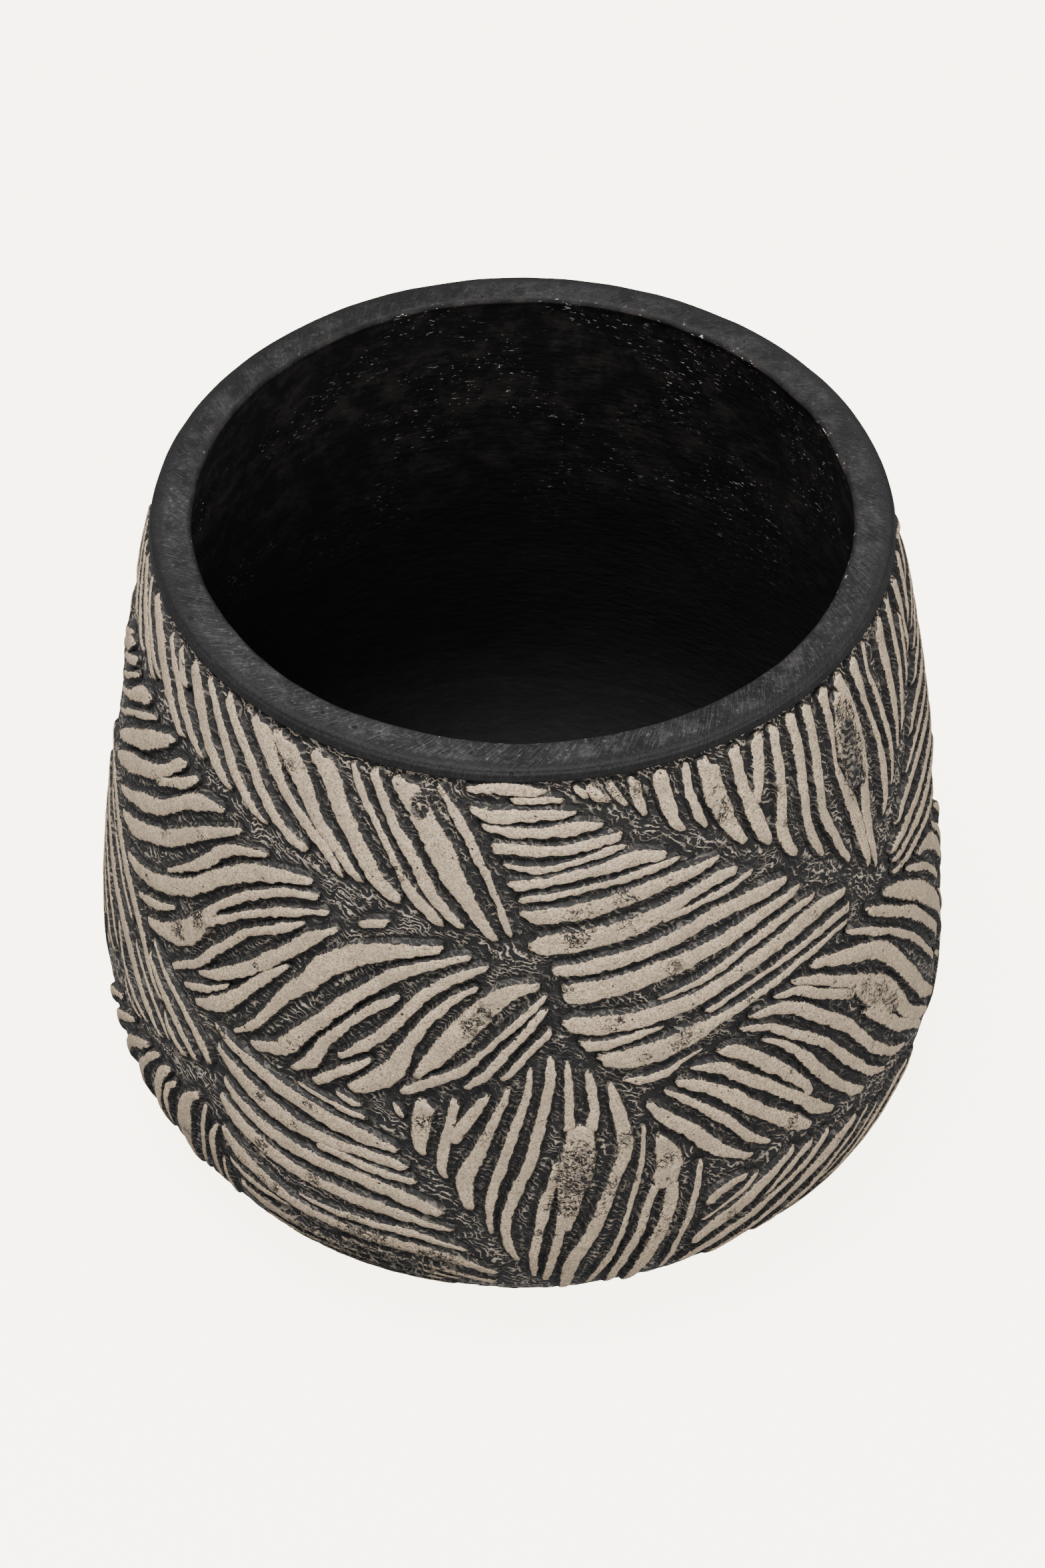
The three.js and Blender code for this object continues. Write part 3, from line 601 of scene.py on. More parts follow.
# Lower left: broad level ribs over the belly, dipping in the middle, ragged towards the foot.
slip_leaf("low_left", [
    [(-44.7, 78.3, 1), (-39.7, 75.8, 2.6), (-33.4, 72.8, 3.9), (-27.2, 70.4, 4.3), (-21.3, 68.4, 4),
     (-15.8, 66.6, 1.7)],
    [(-44, 73.2, 1.2), (-39.7, 69.1, 4), (-34.7, 65.4, 4.5), (-29.3, 63.6, 3.9), (-24.5, 63.3, 3),
     (-20, 63.4, 2.8), (-16.5, 62.6, 3), (-14.6, 61.5, 1.5)],
    [(-27.5, 61.6, 2), (-21.5, 60, 2.1), (-17, 58.7, 2.1), (-13.4, 58.2, 1.6)],
    [(-42.6, 65, 1), (-39.3, 61.2, 3), (-34.7, 58.4, 3.8), (-29.3, 56.5, 3.4), (-23, 55.7, 3.2),
     (-16.8, 53.8, 3.8), (-12.6, 51.3, 3.5), (-10, 49.5, 1.5)],
    [(-43, 59.7, 1.6), (-39.7, 55.3, 4.2), (-34.7, 52.1, 4.2), (-29.3, 50, 3.6), (-23, 48.8, 3.4),
     (-16.8, 47.7, 3), (-12.6, 46.3, 2), (-8.7, 44.3, 0.9)],
    [(-42.6, 50.5, 1.4), (-39.7, 45.8, 4.4), (-35.5, 42, 4), (-31.3, 39.4, 3.4), (-27.2, 37.9, 3),
     (-22.2, 37.1, 3.4), (-16.8, 37, 3.8), (-11.3, 35.8, 3.6), (-7.2, 33.4, 2.6), (-3, 29.3, 1.2)],
    [(-30.5, 42.4, 0.8), (-25, 41.8, 1.6), (-19, 41.9, 2.3), (-14.7, 41.9, 2.3), (-10.5, 40.3, 1.8),
     (-7, 37.8, 0.8)],
    [(-41.8, 40.4, 1), (-37.6, 37.9, 2), (-31.8, 35.8, 0.8)],
    [(-40, 35, 1.4), (-37, 31.9, 3.4), (-33.3, 30.4, 3.2), (-29, 29.3, 2), (-24, 28.5, 1.6),
     (-18, 27.7, 1.4),
     (-12.5, 26, 1.2), (-8, 24, 1)],
    [(-24.5, 31.7, 1.5), (-19, 31.3, 1.6), (-13.5, 30, 1.4), (-8.5, 27.7, 1.5), (-3.3, 24.8, 2)],
    [(-37, 25.5, 0.9), (-30, 24.8, 1.6), (-25, 24.8, 1.4), (-19, 24, 1.4), (-10.5, 21.8, 1)],
    [(-34, 21, 0.8), (-27, 20.6, 1.2), (-19, 19.8, 1.2), (-9, 17.8, 0.8)],
    [(-30.5, 76, 0.8), (-26, 74.6, 1.2), (-20.2, 73.3, 1.5)],
    [(-25, 77.9, 0.8), (-23, 77.1, 1.7), (-21, 76.3, 1.3)],
    [(-16.9, 79.4, 0.7), (-15.9, 77.5, 1.3), (-15.3, 75.6, 0.7)],
], worn=[(-35.6, 52.4, 2.6, 1.2), (-36.2, 67, 1.6, 1.1), (-28.6, 71.3, 2, 0.9), (-38, 41.5, 4, 0.6),
         (-22, 37, 7, 0.85), (-10.5, 34.5, 5, 0.9), (-31, 29.5, 6, 0.8), (-16, 28, 9, 0.9),
         (-27.5, 49.5, 3.4, 0.8),
         (-31, 63, 4, 0.6), (-34, 41, 3, 0.8), (-18, 24, 9, 0.9), (-43, 77.6, 1.6, 1.2), (-24, 21, 9, 1)])

# Lower centre: upright ribs from a point down over the belly to the foot, the middle one badly worn.
slip_leaf("low_centre", [
    [(-12.4, 82.3, 4), (-12.9, 75.6, 4), (-13.1, 70, 3), (-12.5, 66, 1)],
    [(-8.3, 83.8, 2.2), (-9, 78, 2), (-9.6, 73, 2.1), (-10, 68, 2.4), (-10.2, 63.5, 2), (-9.6, 60.3, 0.9)],
    [(-4.6, 85.8, 1.6), (-6.2, 80.5, 2.6), (-7.8, 75.6, 2.8), (-9.2, 71, 2.2)],
    [(-1.8, 87.8, 0.9), (-2.8, 82.5, 1.7), (-4.1, 76.5, 2), (-5.8, 68.8, 2.9), (-7.3, 61.4, 3.4),
     (-7.1, 57.1, 3), (-6.4, 51.6, 1)],
    [(0.9, 93, 0.8), (0.6, 86.8, 1.6), (-0.4, 80.8, 1.8), (-1.3, 73.9, 2.2), (-2.4, 67, 2.4),
     (-3.4, 60.6, 2.2),
     (-4.1, 52.8, 1.6), (-4.1, 48.5, 1.2), (-4, 44.2, 0.7)],
    [(3.8, 96, 1), (3.6, 89.4, 2.1), (3, 83, 2.1), (1.9, 74.3, 2.2), (1.1, 67.9, 2.3), (-0.2, 61.4, 2.4),
     (-1.5, 55, 2.3), (-2.2, 48.5, 2.2), (-1.9, 42.1, 1.9), (-0.5, 35, 0.8)],
    [(5.8, 94.3, 0.9), (6, 87.2, 1.8), (6, 80.8, 1.9), (6, 75, 2.6)],
    [(8.3, 91.5, 1), (8.9, 85, 2), (9, 78.6, 2), (8.4, 74.5, 2.8)],
    [(7.4, 77, 4.6), (7.2, 70, 6.8), (6.7, 63, 7), (6.2, 57, 5.6), (5.9, 51, 3.4), (5.6, 45, 1.4)],
    [(4.6, 67, 1.4), (3.6, 60, 2), (2.9, 54, 2.4), (2.2, 47, 2.2), (1.6, 40, 2), (1.4, 33, 1.4),
     (1.6, 27, 0.8)],
    [(5, 52, 1.8), (4.6, 44, 2), (3.8, 36, 1.9), (3.2, 29, 1.6), (3.1, 24.2, 0.8)],
    [(11.2, 87.2, 1), (12, 80.8, 2.5), (12.9, 74.3, 3), (13.1, 68.8, 3.1), (12.3, 63.6, 2.8),
     (11.2, 57.1, 2.7),
     (10.1, 50.7, 2.8), (8.8, 44.2, 3), (7.1, 37.8, 3.2), (6, 31.3, 3), (5.7, 24.9, 2.4), (5.5, 18.5, 1.2)],
    [(15.6, 73.9, 0.8), (15.5, 65.7, 1), (14.8, 59.3, 1.2), (14, 52.8, 1.2), (12.9, 44.2, 1.4),
     (11, 33.5, 1.5),
     (9.7, 27, 1.4), (8.6, 20.6, 0.9)],
    [(17.6, 70.4, 1.2), (18.4, 66, 3.8), (19, 61.5, 5.6), (18.7, 57.5, 5.6), (18.4, 53.5, 4)],
    [(17.3, 56.5, 1.8), (16.2, 50.5, 1.9), (15, 42.5, 1.8), (13.3, 34, 2.2), (12.2, 27.5, 2.2),
     (11.4, 19, 1.2)],
    [(19.3, 56, 2.6), (19, 49, 3), (18, 42, 3.1), (16.8, 35.5, 3.1), (15.7, 29, 3), (14.7, 22.5, 2.2),
     (14.2, 17, 1.2)],
    [(23.2, 59, 1.2), (22.7, 51, 1.5), (21.7, 42.2, 1.4), (20.6, 35.7, 1.3), (19.8, 29.3, 1.3),
     (19, 21, 0.9)],
], worn=[(7.2, 68, 5, 1.2), (6.6, 60, 5, 1.3), (6.2, 53, 3.4, 0.9), (13, 71, 4, 1), (-12.8, 76, 4, 0.9),
         (11.8, 58, 5, 0.8), (10, 49, 4, 0.6), (18.4, 63, 3.6, 0.8), (17.5, 43, 6, 0.75),
         (-4.6, 74, 3, 0.8),
         (1.8, 45, 4, 0.7), (18.4, 55, 3, 0.5), (-2.6, 83, 3, 0.5), (3.2, 55, 3, 0.6)])

# The sliver: one small lens of slip left between the fan and the leaf under it.
slip_leaf("sliver", [
    [(13, 87.6, 0.9), (16, 86.9, 2), (18.5, 87.3, 2), (21.3, 88.8, 0.9), (24.2, 90.3, 0.6)],
])

# Right: the largest leaf, ribs falling to the right over the belly, three of them forked.
slip_leaf("low_right", [
    [(16.2, 80, 1.4), (18.3, 75.3, 3.1), (21.3, 70.3, 3.4), (24.2, 64, 3.4), (27.1, 58.6, 3),
     (31.2, 53.8, 1)],
    [(18.5, 82, 1), (22, 77.4, 1.8), (25.4, 71.5, 2.1), (28.3, 65.3, 2.1), (30.8, 59.8, 2), (34, 55, 0.9)],
    [(20.2, 83.8, 1.8), (24.2, 79.8, 3), (28, 74, 3.4), (31.7, 67.3, 3.4), (35, 61.5, 3.6),
     (37.5, 57.3, 3.7),
     (40.6, 52.5, 1.5)],
    [(22.3, 86.3, 1.2), (25.8, 84.4, 2.6), (28.8, 79.8, 2.8), (32.5, 74, 2.8), (35.8, 68.2, 2.6),
     (38.8, 62.8, 3), (41.7, 56.9, 2.8), (45, 52.1, 1)],
    [(26.3, 89, 2), (29.2, 86.1, 3.1), (32.5, 80.7, 3.2), (35.4, 75.3, 3), (37.5, 70.7, 2.8),
     (39.6, 65.7, 2.5),
     (40.3, 61.8, 2)],
    [(33.1, 86, 1), (36.7, 80.7, 1.8), (39.2, 75.3, 2.4), (41.3, 69.4, 2.6), (43.3, 64, 2.8),
     (45.4, 59, 2.8),
     (47.9, 54.4, 2.6), (51.3, 49.2, 1)],
    [(29.6, 91.7, 1.2), (33.8, 88.6, 1.6), (37.5, 83.6, 2), (40.8, 78.6, 2.2), (43.3, 74, 2.4),
     (45.4, 69.4, 2.4),
     (47.5, 64, 2.6), (50, 58.6, 2.4), (52.5, 53.2, 2), (56.5, 47.5, 0.8)],
    [(31, 94, 1.4), (35.4, 92.3, 3), (39.2, 88.6, 3), (42.5, 83.2, 3), (45.8, 77.3, 3), (48.3, 71.9, 3),
     (50.8, 66, 2.8), (52.9, 60.7, 2.6), (55.8, 54.8, 2.4), (62.5, 45.7, 0.9)],
    [(35, 95.7, 1), (38.8, 94, 2), (42.5, 89.4, 2.2), (45.8, 85.3, 2.2), (49.6, 80.4, 2.4)],
    [(38.3, 97.3, 1.6), (42.5, 93.2, 2.6), (46.2, 88.6, 2.6), (49.6, 84.4, 3.6), (52.1, 79.4, 6),
     (55, 74, 7.4), (57.6, 68.4, 7), (60, 63.3, 4.4), (62.5, 57, 3), (66, 50, 2.8), (71, 42.5, 1.6)],
    [(52, 73.5, 3), (54.6, 68, 3.4), (57.1, 62.3, 3.2), (60, 56.1, 3), (64.2, 49.8, 2.6),
     (68.3, 42.3, 1.2)],
    [(41.7, 98.6, 2), (46.7, 94.4, 3.4), (51.7, 90.3, 4.3), (55.8, 85.3, 4.3), (58.3, 80.3, 4.2),
     (60.8, 74, 4),
     (63.3, 67.3, 4), (65.4, 61.5, 3.8), (67.9, 54.8, 3.4), (71.3, 48.6, 2.6), (74.5, 42, 1.2)],
    [(49, 99, 1), (53.3, 94, 1.6), (56.7, 89.4, 1.6), (60, 84.4, 1.6), (62.9, 79.4, 1.6), (65.4, 74.8, 1.6),
     (67.9, 69.4, 1.6), (70, 64.4, 1.6), (72.5, 58.2, 1.4), (75, 52, 1)],
    [(53.3, 99.4, 1.6), (57.1, 94.8, 2.4), (60.4, 89.8, 2.6), (63.8, 85.3, 2.8), (67.1, 79.4, 2.8),
     (70, 73.6, 2.6), (72.5, 67.8, 2.4), (75, 62.3, 2), (77, 56, 1.1)],
    [(57.9, 98.8, 2), (61.7, 94.4, 3.6), (65, 89.4, 4.2), (68.3, 84.4, 4.4), (71.3, 79, 4.5),
     (73.8, 74, 4.3),
     (76.3, 68.2, 3.8), (78.8, 62.3, 2.8), (80.5, 56, 1.3)],
    [(65.4, 95.3, 1), (69.2, 90.3, 1.6), (72.5, 85.3, 1.6), (75, 80.7, 1.6), (77.5, 75.7, 1.6),
     (80, 69.8, 1.1)],
    [(69.6, 94.4, 1.6), (74.2, 90.3, 3.3), (77.1, 85.7, 3.5), (79.6, 80.7, 3.3), (82.1, 74.8, 2.8),
     (84.6, 68.6, 2), (86, 62, 1)],
    [(78.8, 88.2, 1), (81.7, 82, 1.8), (84.6, 75.7, 1.8), (88, 67, 1.6), (89.5, 59, 0.9)],
    [(82.5, 88, 1.1), (86, 81.5, 2.3), (90, 73.5, 2.4), (93, 64.5, 1.6), (94, 59.5, 0.9)],
    [(83, 61, 1), (83.5, 55, 1.8), (85, 50, 0.9)],
    [(77, 50.5, 1.2), (79, 46.5, 1.4), (81, 44, 0.9)],
], worn=[(54.5, 74, 4.5, 1), (51.6, 80, 3.4, 0.8), (57.6, 67.6, 3, 1.1), (58.7, 63.4, 1.8, 1.3),
         (37, 57.6, 2.6, 1.1), (64, 86, 4, 0.7), (45.6, 89.6, 1.4, 0.5), (36.6, 73, 2, 0.7),
         (53, 61, 2, 0.6),
         (44.6, 94, 1.5, 0.6), (52.6, 88, 1.6, 0.6), (48, 83, 2.4, 0.6)])

# Left foot: ribs falling to the foot, one of them twice as broad as the rest.
slip_leaf("foot_left", [
    [(-42.8, 38.4, 0.8), (-42.8, 33, 1.1), (-42.6, 29.9, 1.2), (-43, 22, 0.8)],
    [(-43.9, 48.6, 0.8), (-44.4, 44.6, 1.5), (-44.5, 39.3, 1.7), (-44.6, 34.3, 1.5), (-44.8, 26, 0.8)],
    [(-45.9, 52, 1), (-46.3, 47.4, 1.2), (-46.6, 41.1, 1.2), (-46.9, 36.1, 1.2), (-47.5, 30.8, 1.1),
     (-48.5, 24, 0.8)],
    [(-47, 53.6, 1.4), (-49.1, 49.9, 2.6), (-50, 45.5, 4.1), (-50.5, 40.5, 4.9), (-50.7, 36, 4.3),
     (-50.6, 31, 2.8), (-50.6, 22, 1.1)],
    [(-52.2, 49.3, 1.2), (-54, 45.5, 1.4), (-54.7, 41, 2), (-54.9, 36.5, 1.6), (-55, 30, 0.8)],
    [(-53.8, 52, 1.6), (-55.6, 47.7, 2.8), (-56.4, 44, 3), (-57, 39.5, 2.8), (-57.3, 34.5, 2),
     (-57.5, 24, 0.9)],
    [(-56.6, 52.4, 1.2), (-59, 47.7, 1.8), (-60.6, 43.3, 2.2), (-61.9, 39.3, 2.4), (-62.8, 33, 1.9),
     (-63, 24, 0.9)],
    [(-59.5, 51, 1.4), (-61.9, 47.4, 2.6), (-64.4, 43.6, 2.8), (-66.4, 39.5, 2.5), (-68.4, 33, 1.9),
     (-69.5, 25, 0.9)],
    [(-64, 51, 1), (-67.5, 46.5, 2), (-70.5, 41.5, 2.3), (-73, 35, 2), (-74.8, 27, 0.9)],
    [(-69.4, 49.2, 1), (-72.8, 45, 2), (-76, 39, 2.2), (-78.6, 32, 1.8), (-79.6, 25, 0.9)],
], worn=[(-50.2, 38, 3, 0.6), (-58, 30, 6, 0.7), (-47, 28, 5, 0.9), (-66, 30, 6, 0.7)])

# Right foot: ribs climbing to the right from the foot, broad ones between short thin ones.
slip_leaf("foot_right", [
    [(24.3, 43.8, 1.5), (25.3, 46.5, 2.6), (27.6, 48.4, 2.4), (30.4, 49, 1.6)],
    [(23.6, 38.8, 0.8), (26.8, 41.8, 0.9), (29.9, 45, 1.3), (31.9, 48.1, 1)],
    [(22.4, 30.8, 1.2), (23.6, 34, 3), (26.1, 37.1, 4), (29.6, 40.6, 3.9), (32.7, 44, 3.3),
     (35.5, 46.8, 2.4),
     (37.7, 49.6, 1.1)],
    [(33, 37.8, 0.8), (35.2, 41.5, 1.6), (37.4, 44.6, 2), (39.3, 46.8, 2.4), (41.1, 47.8, 1.2)],
    [(21.3, 22.8, 1.4), (23.6, 26.5, 3), (27.4, 30.3, 3.3), (31.1, 33.7, 2.9), (33.6, 36.5, 2),
     (37.4, 39.9, 2),
     (40.5, 42.8, 2.2), (42.4, 45.6, 2), (43.9, 47.8, 1.1)],
    [(25.5, 19.8, 1.2), (28.2, 23.2, 2.4), (31.4, 26.5, 2.6), (33.6, 29.3, 2.6), (36.8, 33, 2.8),
     (39.9, 36.2, 3.2),
     (43, 39, 3.9), (46.1, 41.8, 3.5), (49.6, 44.3, 1.4)],
    [(33, 21, 1.2), (38, 26, 2.2), (41.8, 29.6, 2.5), (44, 32.7, 2.1), (45.5, 35, 1.8), (48.6, 37.8, 1.4),
     (52.7, 42.1, 0.8)],
    [(44, 27.5, 0.9), (48, 31.5, 1.2), (51.8, 35.5, 1.3), (55, 39, 0.8)],
    [(45, 23, 1), (50, 29.2, 2.2), (54, 34, 2.8), (58, 37.8, 2.7), (61.1, 39.6, 2.3), (63.6, 39.5, 1.2)],
    [(38, 19, 1), (44, 20.5, 1.6), (51, 25.5, 2), (57, 31, 2), (63, 35.6, 1.8), (67, 37.4, 0.9)],
], worn=[(27.6, 38, 2, 1), (30, 27, 4, 0.6), (46, 41, 2, 0.6), (56, 35, 4, 0.6), (38, 25, 5, 0.7)])

# Right side: arched ribs that spread from a point and run on round the pot.
slip_leaf("right_fan", [
    [(82, 139.5, 0.9), (86, 143, 1.6), (92, 145.5, 1.8), (99, 146.5, 1)],
    [(80.7, 136, 1), (84.1, 138.3, 2), (91, 140.3, 2.2), (101, 140.3, 1)],
    [(76.6, 131.4, 1), (80.1, 133.3, 2.2), (84.1, 133.6, 2.4), (92, 133.6, 2.6), (102.5, 132.5, 1.2)],
    [(71.6, 123.9, 1), (73.5, 126.5, 2.4), (77.3, 127.6, 2.8), (81, 127.3, 3), (86.5, 126.3, 2.8),
     (94, 126, 2.6), (102.5, 124.5, 1.2)],
    [(68.2, 117.9, 0.9), (71, 119.8, 1.6), (74.8, 121.1, 2), (79.4, 121, 2.2), (86, 119.7, 2.2),
     (94, 118.7, 2.4),
     (102, 117.2, 1.2)],
    [(63.2, 110.4, 1.1), (65.4, 113.1, 2.3), (68.5, 115.1, 2.6), (72.6, 116.1, 2.8), (77.3, 116.1, 2.6),
     (80.4, 115.4, 2.6), (87, 113, 2.4), (94, 111.5, 2), (99, 110, 1)],
    [(60.5, 106.4, 1.6), (65.4, 107.3, 2.9), (70, 107.9, 3), (74.8, 108.4, 3), (79.4, 108.3, 3),
     (86, 106.7, 2.6),
     (96, 104, 1.2)],
    [(61, 102.9, 1.4), (65.4, 102.9, 2), (70, 102.7, 3), (74.8, 102.4, 3.1), (79.1, 102.3, 3),
     (85, 100.7, 2.4),
     (91, 98.4, 1)],
    [(60.7, 100.1, 1), (65, 99.2, 1.7), (70, 98, 1.8), (75, 96.7, 1.8), (80, 95.6, 1.6), (84, 94.6, 0.9)],
], worn=[(78, 98, 3, 0.6), (88, 120, 6, 0.5)])


# ---- Slip panels round the back ----
# The pattern goes on round the back in the same hand: each leaf is laid between two rails, its ribs as
# uneven in width as the front's, then drawn out and added to until it meets the leaves beside it.
CUT_MM = 1.7
LAID_TAPER = ((0, 0.35), (0.14, 0.8), (0.32, 1), (0.52, 1.06), (0.72, 0.95), (0.88, 0.7), (1, 0.32))
ADDED_TAPER = ((0, 0.4), (0.14, 0.8), (0.32, 1), (0.52, 1.08), (0.72, 0.95), (0.88, 0.7), (1, 0.35))


def laid_between(first, second, bow, seed):
    """Ribs shared out between two rails of (azimuth, height), the first rib's bow and the last one's."""
    random = np.random.default_rng(seed)
    rails = []
    for rail in (first, second):
        s, line = curve_through([(a, z, 1) for a, z in rail], 0.5)
        rails.append((s / s[-1], line, s[-1]))
    length = (rails[0][2] + rails[1][2]) / 2
    fans = [min(1.25, max(0.45, rail[2] / length)) for rail in rails]
    count = max(3, round(length / 4.6))
    widths = random.choice([1.6, 2.1, 2.5, 3.0, 3.6, 4.6], count, p=[0.2, 0.2, 0.2, 0.18, 0.14, 0.08])
    cuts = random.uniform(1.5, 2.6, count)
    span = sum(widths) + sum(cuts)
    across = np.cumsum(widths + cuts) - widths / 2 - cuts / 2
    widths = widths * length / span
    sway = random.choice([-1, 1]) * np.array([0.32, random.choice([-0.40, 0.22])])
    laid = []
    for centre, width in zip(across / span, widths):
        ends = [np.array([np.interp(centre, s, line[:, k]) for k in (0, 1)]) for s, line, end in rails]
        round_mm = float(mm_per_degree((ends[0][1] + ends[1][1]) / 2))
        run = (ends[1] - ends[0]) * [round_mm, 1]
        early, late = np.array(bow[0]) * (1 - centre) + np.array(bow[1]) * centre
        early, late = early + sway[0] * centre * (1 - centre), late + sway[1] * centre * (1 - centre)
        trim = random.uniform(0, 0.05, 2)
        knots = []
        for t, share in LAID_TAPER:
            t = trim[0] + t * (1 - trim.sum())
            bend = 3 * t * (1 - t) * ((1 - t) * early + t * late)
            there = run * t + np.array([-run[1], run[0]]) * bend
            swell = share * width * random.uniform(0.88, 1.12) * (fans[0] * (1 - t) + fans[1] * t)
            knots.append((ends[0][0] + there[0] / round_mm, ends[0][1] + there[1], max(0.8, swell)))
        laid.append(knots)
    return laid


BACK_LEAVES = {
    "back_top_right": (
        [(94, 160.3), (108, 160.3), (122, 160.3), (136, 160.3), (150, 160.3)],
        [(110, 150), (119, 141), (131, 134), (143, 130), (153, 129)],
        ((-0.03, -0.05), (-0.05, -0.03))),
    "back_top_fan": (
        [(154, 160), (156, 151), (158, 142), (160, 132), (163, 122), (167, 113)],
        [(176, 160.3), (184, 152), (190, 143), (197, 134), (202, 125), (205, 116)],
        ((0.04, -0.02), (-0.12, 0.14))),
    "back_top_left": (
        [(184, 160.3), (198, 160.3), (212, 160.3), (226, 160.3), (240, 160.3), (256, 160.3)],
        [(193, 149), (204, 137), (214, 127), (226, 133), (239, 141), (256, 148)],
        ((-0.02, -0.05), (0.03, 0.04))),
    "back_mid_right": (
        [(110, 137), (108, 126), (106, 114), (104, 103), (104, 93), (110, 85), (119, 80)],
        [(128, 130), (137, 128), (147, 125), (156, 120), (158, 110), (154, 99), (146, 91)],
        ((-0.04, 0.02), (-0.08, 0.08))),
    "back_mid_centre": (
        [(167, 106), (161, 99), (155, 92), (151, 86), (154, 80)],
        [(191, 110), (201, 108), (207, 100), (204, 91), (196, 85)],
        ((0.04, 0.02), (-0.06, 0.02))),
    "back_mid_left": (
        [(211, 84), (212, 93), (212, 103), (213, 113), (220, 122), (230, 128)],
        [(243, 86), (253, 93), (260, 104), (264, 116), (265, 127), (257, 137)],
        ((-0.1, 0.08), (-0.04, 0.08))),
    "back_low_right": (
        [(96, 87), (100, 77), (102, 66), (101, 54), (100, 42), (101, 30), (104, 20)],
        [(120, 73), (128, 69), (129, 60), (127, 48), (123, 37), (119, 26)],
        ((0.04, 0.02), (-0.04, -0.02))),
    "back_low_centre": (
        [(138, 81), (144, 76), (151, 71), (159, 66), (165, 60)],
        [(123, 20), (131, 16), (141, 15), (151, 16), (160, 20)],
        ((-0.03, 0.02), (0.04, 0.04))),
    "back_low_middle": (
        [(171, 74), (170, 60), (168, 47), (167, 34), (167, 20)],
        [(196, 78), (203, 69), (205, 56), (204, 42), (201, 26)],
        ((-0.1, 0.08), (-0.14, 0.1))),
    "back_low_left": (
        [(209, 77), (216, 78), (223, 78), (230, 78), (237, 77)],
        [(209, 32), (213, 20), (221, 15), (230, 16), (239, 20)],
        ((-0.03, 0.02), (0.03, 0.03))),
    "back_foot_right": (
        [(79, 37), (80, 28), (83, 19)],
        [(95, 49), (97, 36), (97, 22)],
        ((0.06, 0.04), (-0.06, 0.02))),
    "back_foot_left": (
        [(243, 79), (252, 86), (262, 94)],
        [(244, 19), (258, 16), (275, 19)],
        ((0.03, -0.02), (-0.03, 0.04))),
}


def clear_of(rib_line, others):
    """How far in mm each (azimuth, height, width) row of a rib stays from the other ribs."""
    rib_line = np.asarray(rib_line, float)
    there = on_wall(rib_line[:, 0], rib_line[:, 1], 0) * 1000
    far = np.linalg.norm(there[:, None] - others[None, :, :3], axis=2) - others[None, :, 3]
    return far.min(1) - rib_line[:, 2] / 2


def as_obstacle(knots):
    """A rib's middle line as rows of place and half width in mm."""
    line = curve_through(knots, 1.2)[1]
    return np.column_stack([on_wall(line[:, 0], line[:, 1], 0) * 1000, line[:, 2] / 2])


def step_in_mm(start, end):
    """The step between two knots in mm along the wall, and mm per degree there."""
    round_mm = float(mm_per_degree((start[1] + end[1]) / 2))
    return np.array([(end[0] - start[0]) * round_mm, end[1] - start[1]]), round_mm


def beside(knots, neighbour, others):
    """One more rib outside this one, as long as the ground there is free, or None."""
    shifted = []
    for knot, inner_knot in zip(knots, neighbour):
        away, round_mm = step_in_mm(inner_knot, knot)
        spacing = np.hypot(*away)
        away = away / spacing * min(4.4, max(1.6, spacing))
        shifted.append((knot[0] + away[0] / round_mm, knot[1] + away[1], 2.3))
    line = curve_through(shifted, 1.0)[1]
    free = (clear_of(line, others) > CUT_MM) & (line[:, 1] > 15) & (line[:, 1] < 159.5)
    runs = np.split(np.arange(len(line)), np.flatnonzero(np.diff(free.astype(int))) + 1)
    longest = max((run for run in runs if free[run[0]]), key=len, default=[])
    if len(longest) < 9:
        return None
    picks = [(line[longest[round(t * (len(longest) - 1))]], share) for t, share in ADDED_TAPER]
    return [(place[0], place[1], 2.4 * share) for place, share in picks]


def grown(knots, others):
    """This rib with its end drawn out until it is a cut's width from the next leaf."""
    run, round_mm = step_in_mm(knots[-3], knots[-1])
    run = run / np.hypot(*run)
    reach = np.arange(0.6, 8.0, 0.6)
    tries = np.column_stack([knots[-1][0] + reach * run[0] / round_mm, knots[-1][1] + reach * run[1],
                             np.full(len(reach), 1.0)])
    free = (clear_of(tries, others) > 1.9) & (tries[:, 1] > 15) & (tries[:, 1] < 160)
    count = len(free) if free.all() else int(np.argmin(free))
    far = 0.6 * count
    knots = list(knots)
    for place, share in ((-1, 1.0), (-2, 0.65), (-3, 0.3)):
        a, z, width = knots[place]
        knots[place] = (a + far * share * run[0] / round_mm, z + far * share * run[1], width)
    return knots


def gap_to(knots, lines):
    """How far in mm each knot's middle is from the middles of the ribs given as obstacles."""
    line = np.array(knots)
    there = on_wall(line[:, 0], line[:, 1], 0) * 1000
    return np.linalg.norm(there[:, None] - np.concatenate(lines)[None, :, :3], axis=2).min(1)


def thinned(ribs):
    """The same ribs without those crowded out, and narrower wherever a neighbour comes close."""
    kept = [ribs[0]]
    for knots in ribs[1:]:
        if np.median(gap_to(knots, [as_obstacle(kept[-1])])) > 2.9:
            kept.append(knots)
    lines = [as_obstacle(knots) for knots in kept]
    narrowed = []
    for number, knots in enumerate(kept):
        gap = gap_to(knots, lines[max(0, number - 1):number] + lines[number + 1:number + 2])
        line = np.array(knots)
        line[:, 2] = np.minimum(line[:, 2] * 0.95, np.maximum(gap - 1.6, 0.7))
        narrowed.append([tuple(knot) for knot in line])
    return narrowed


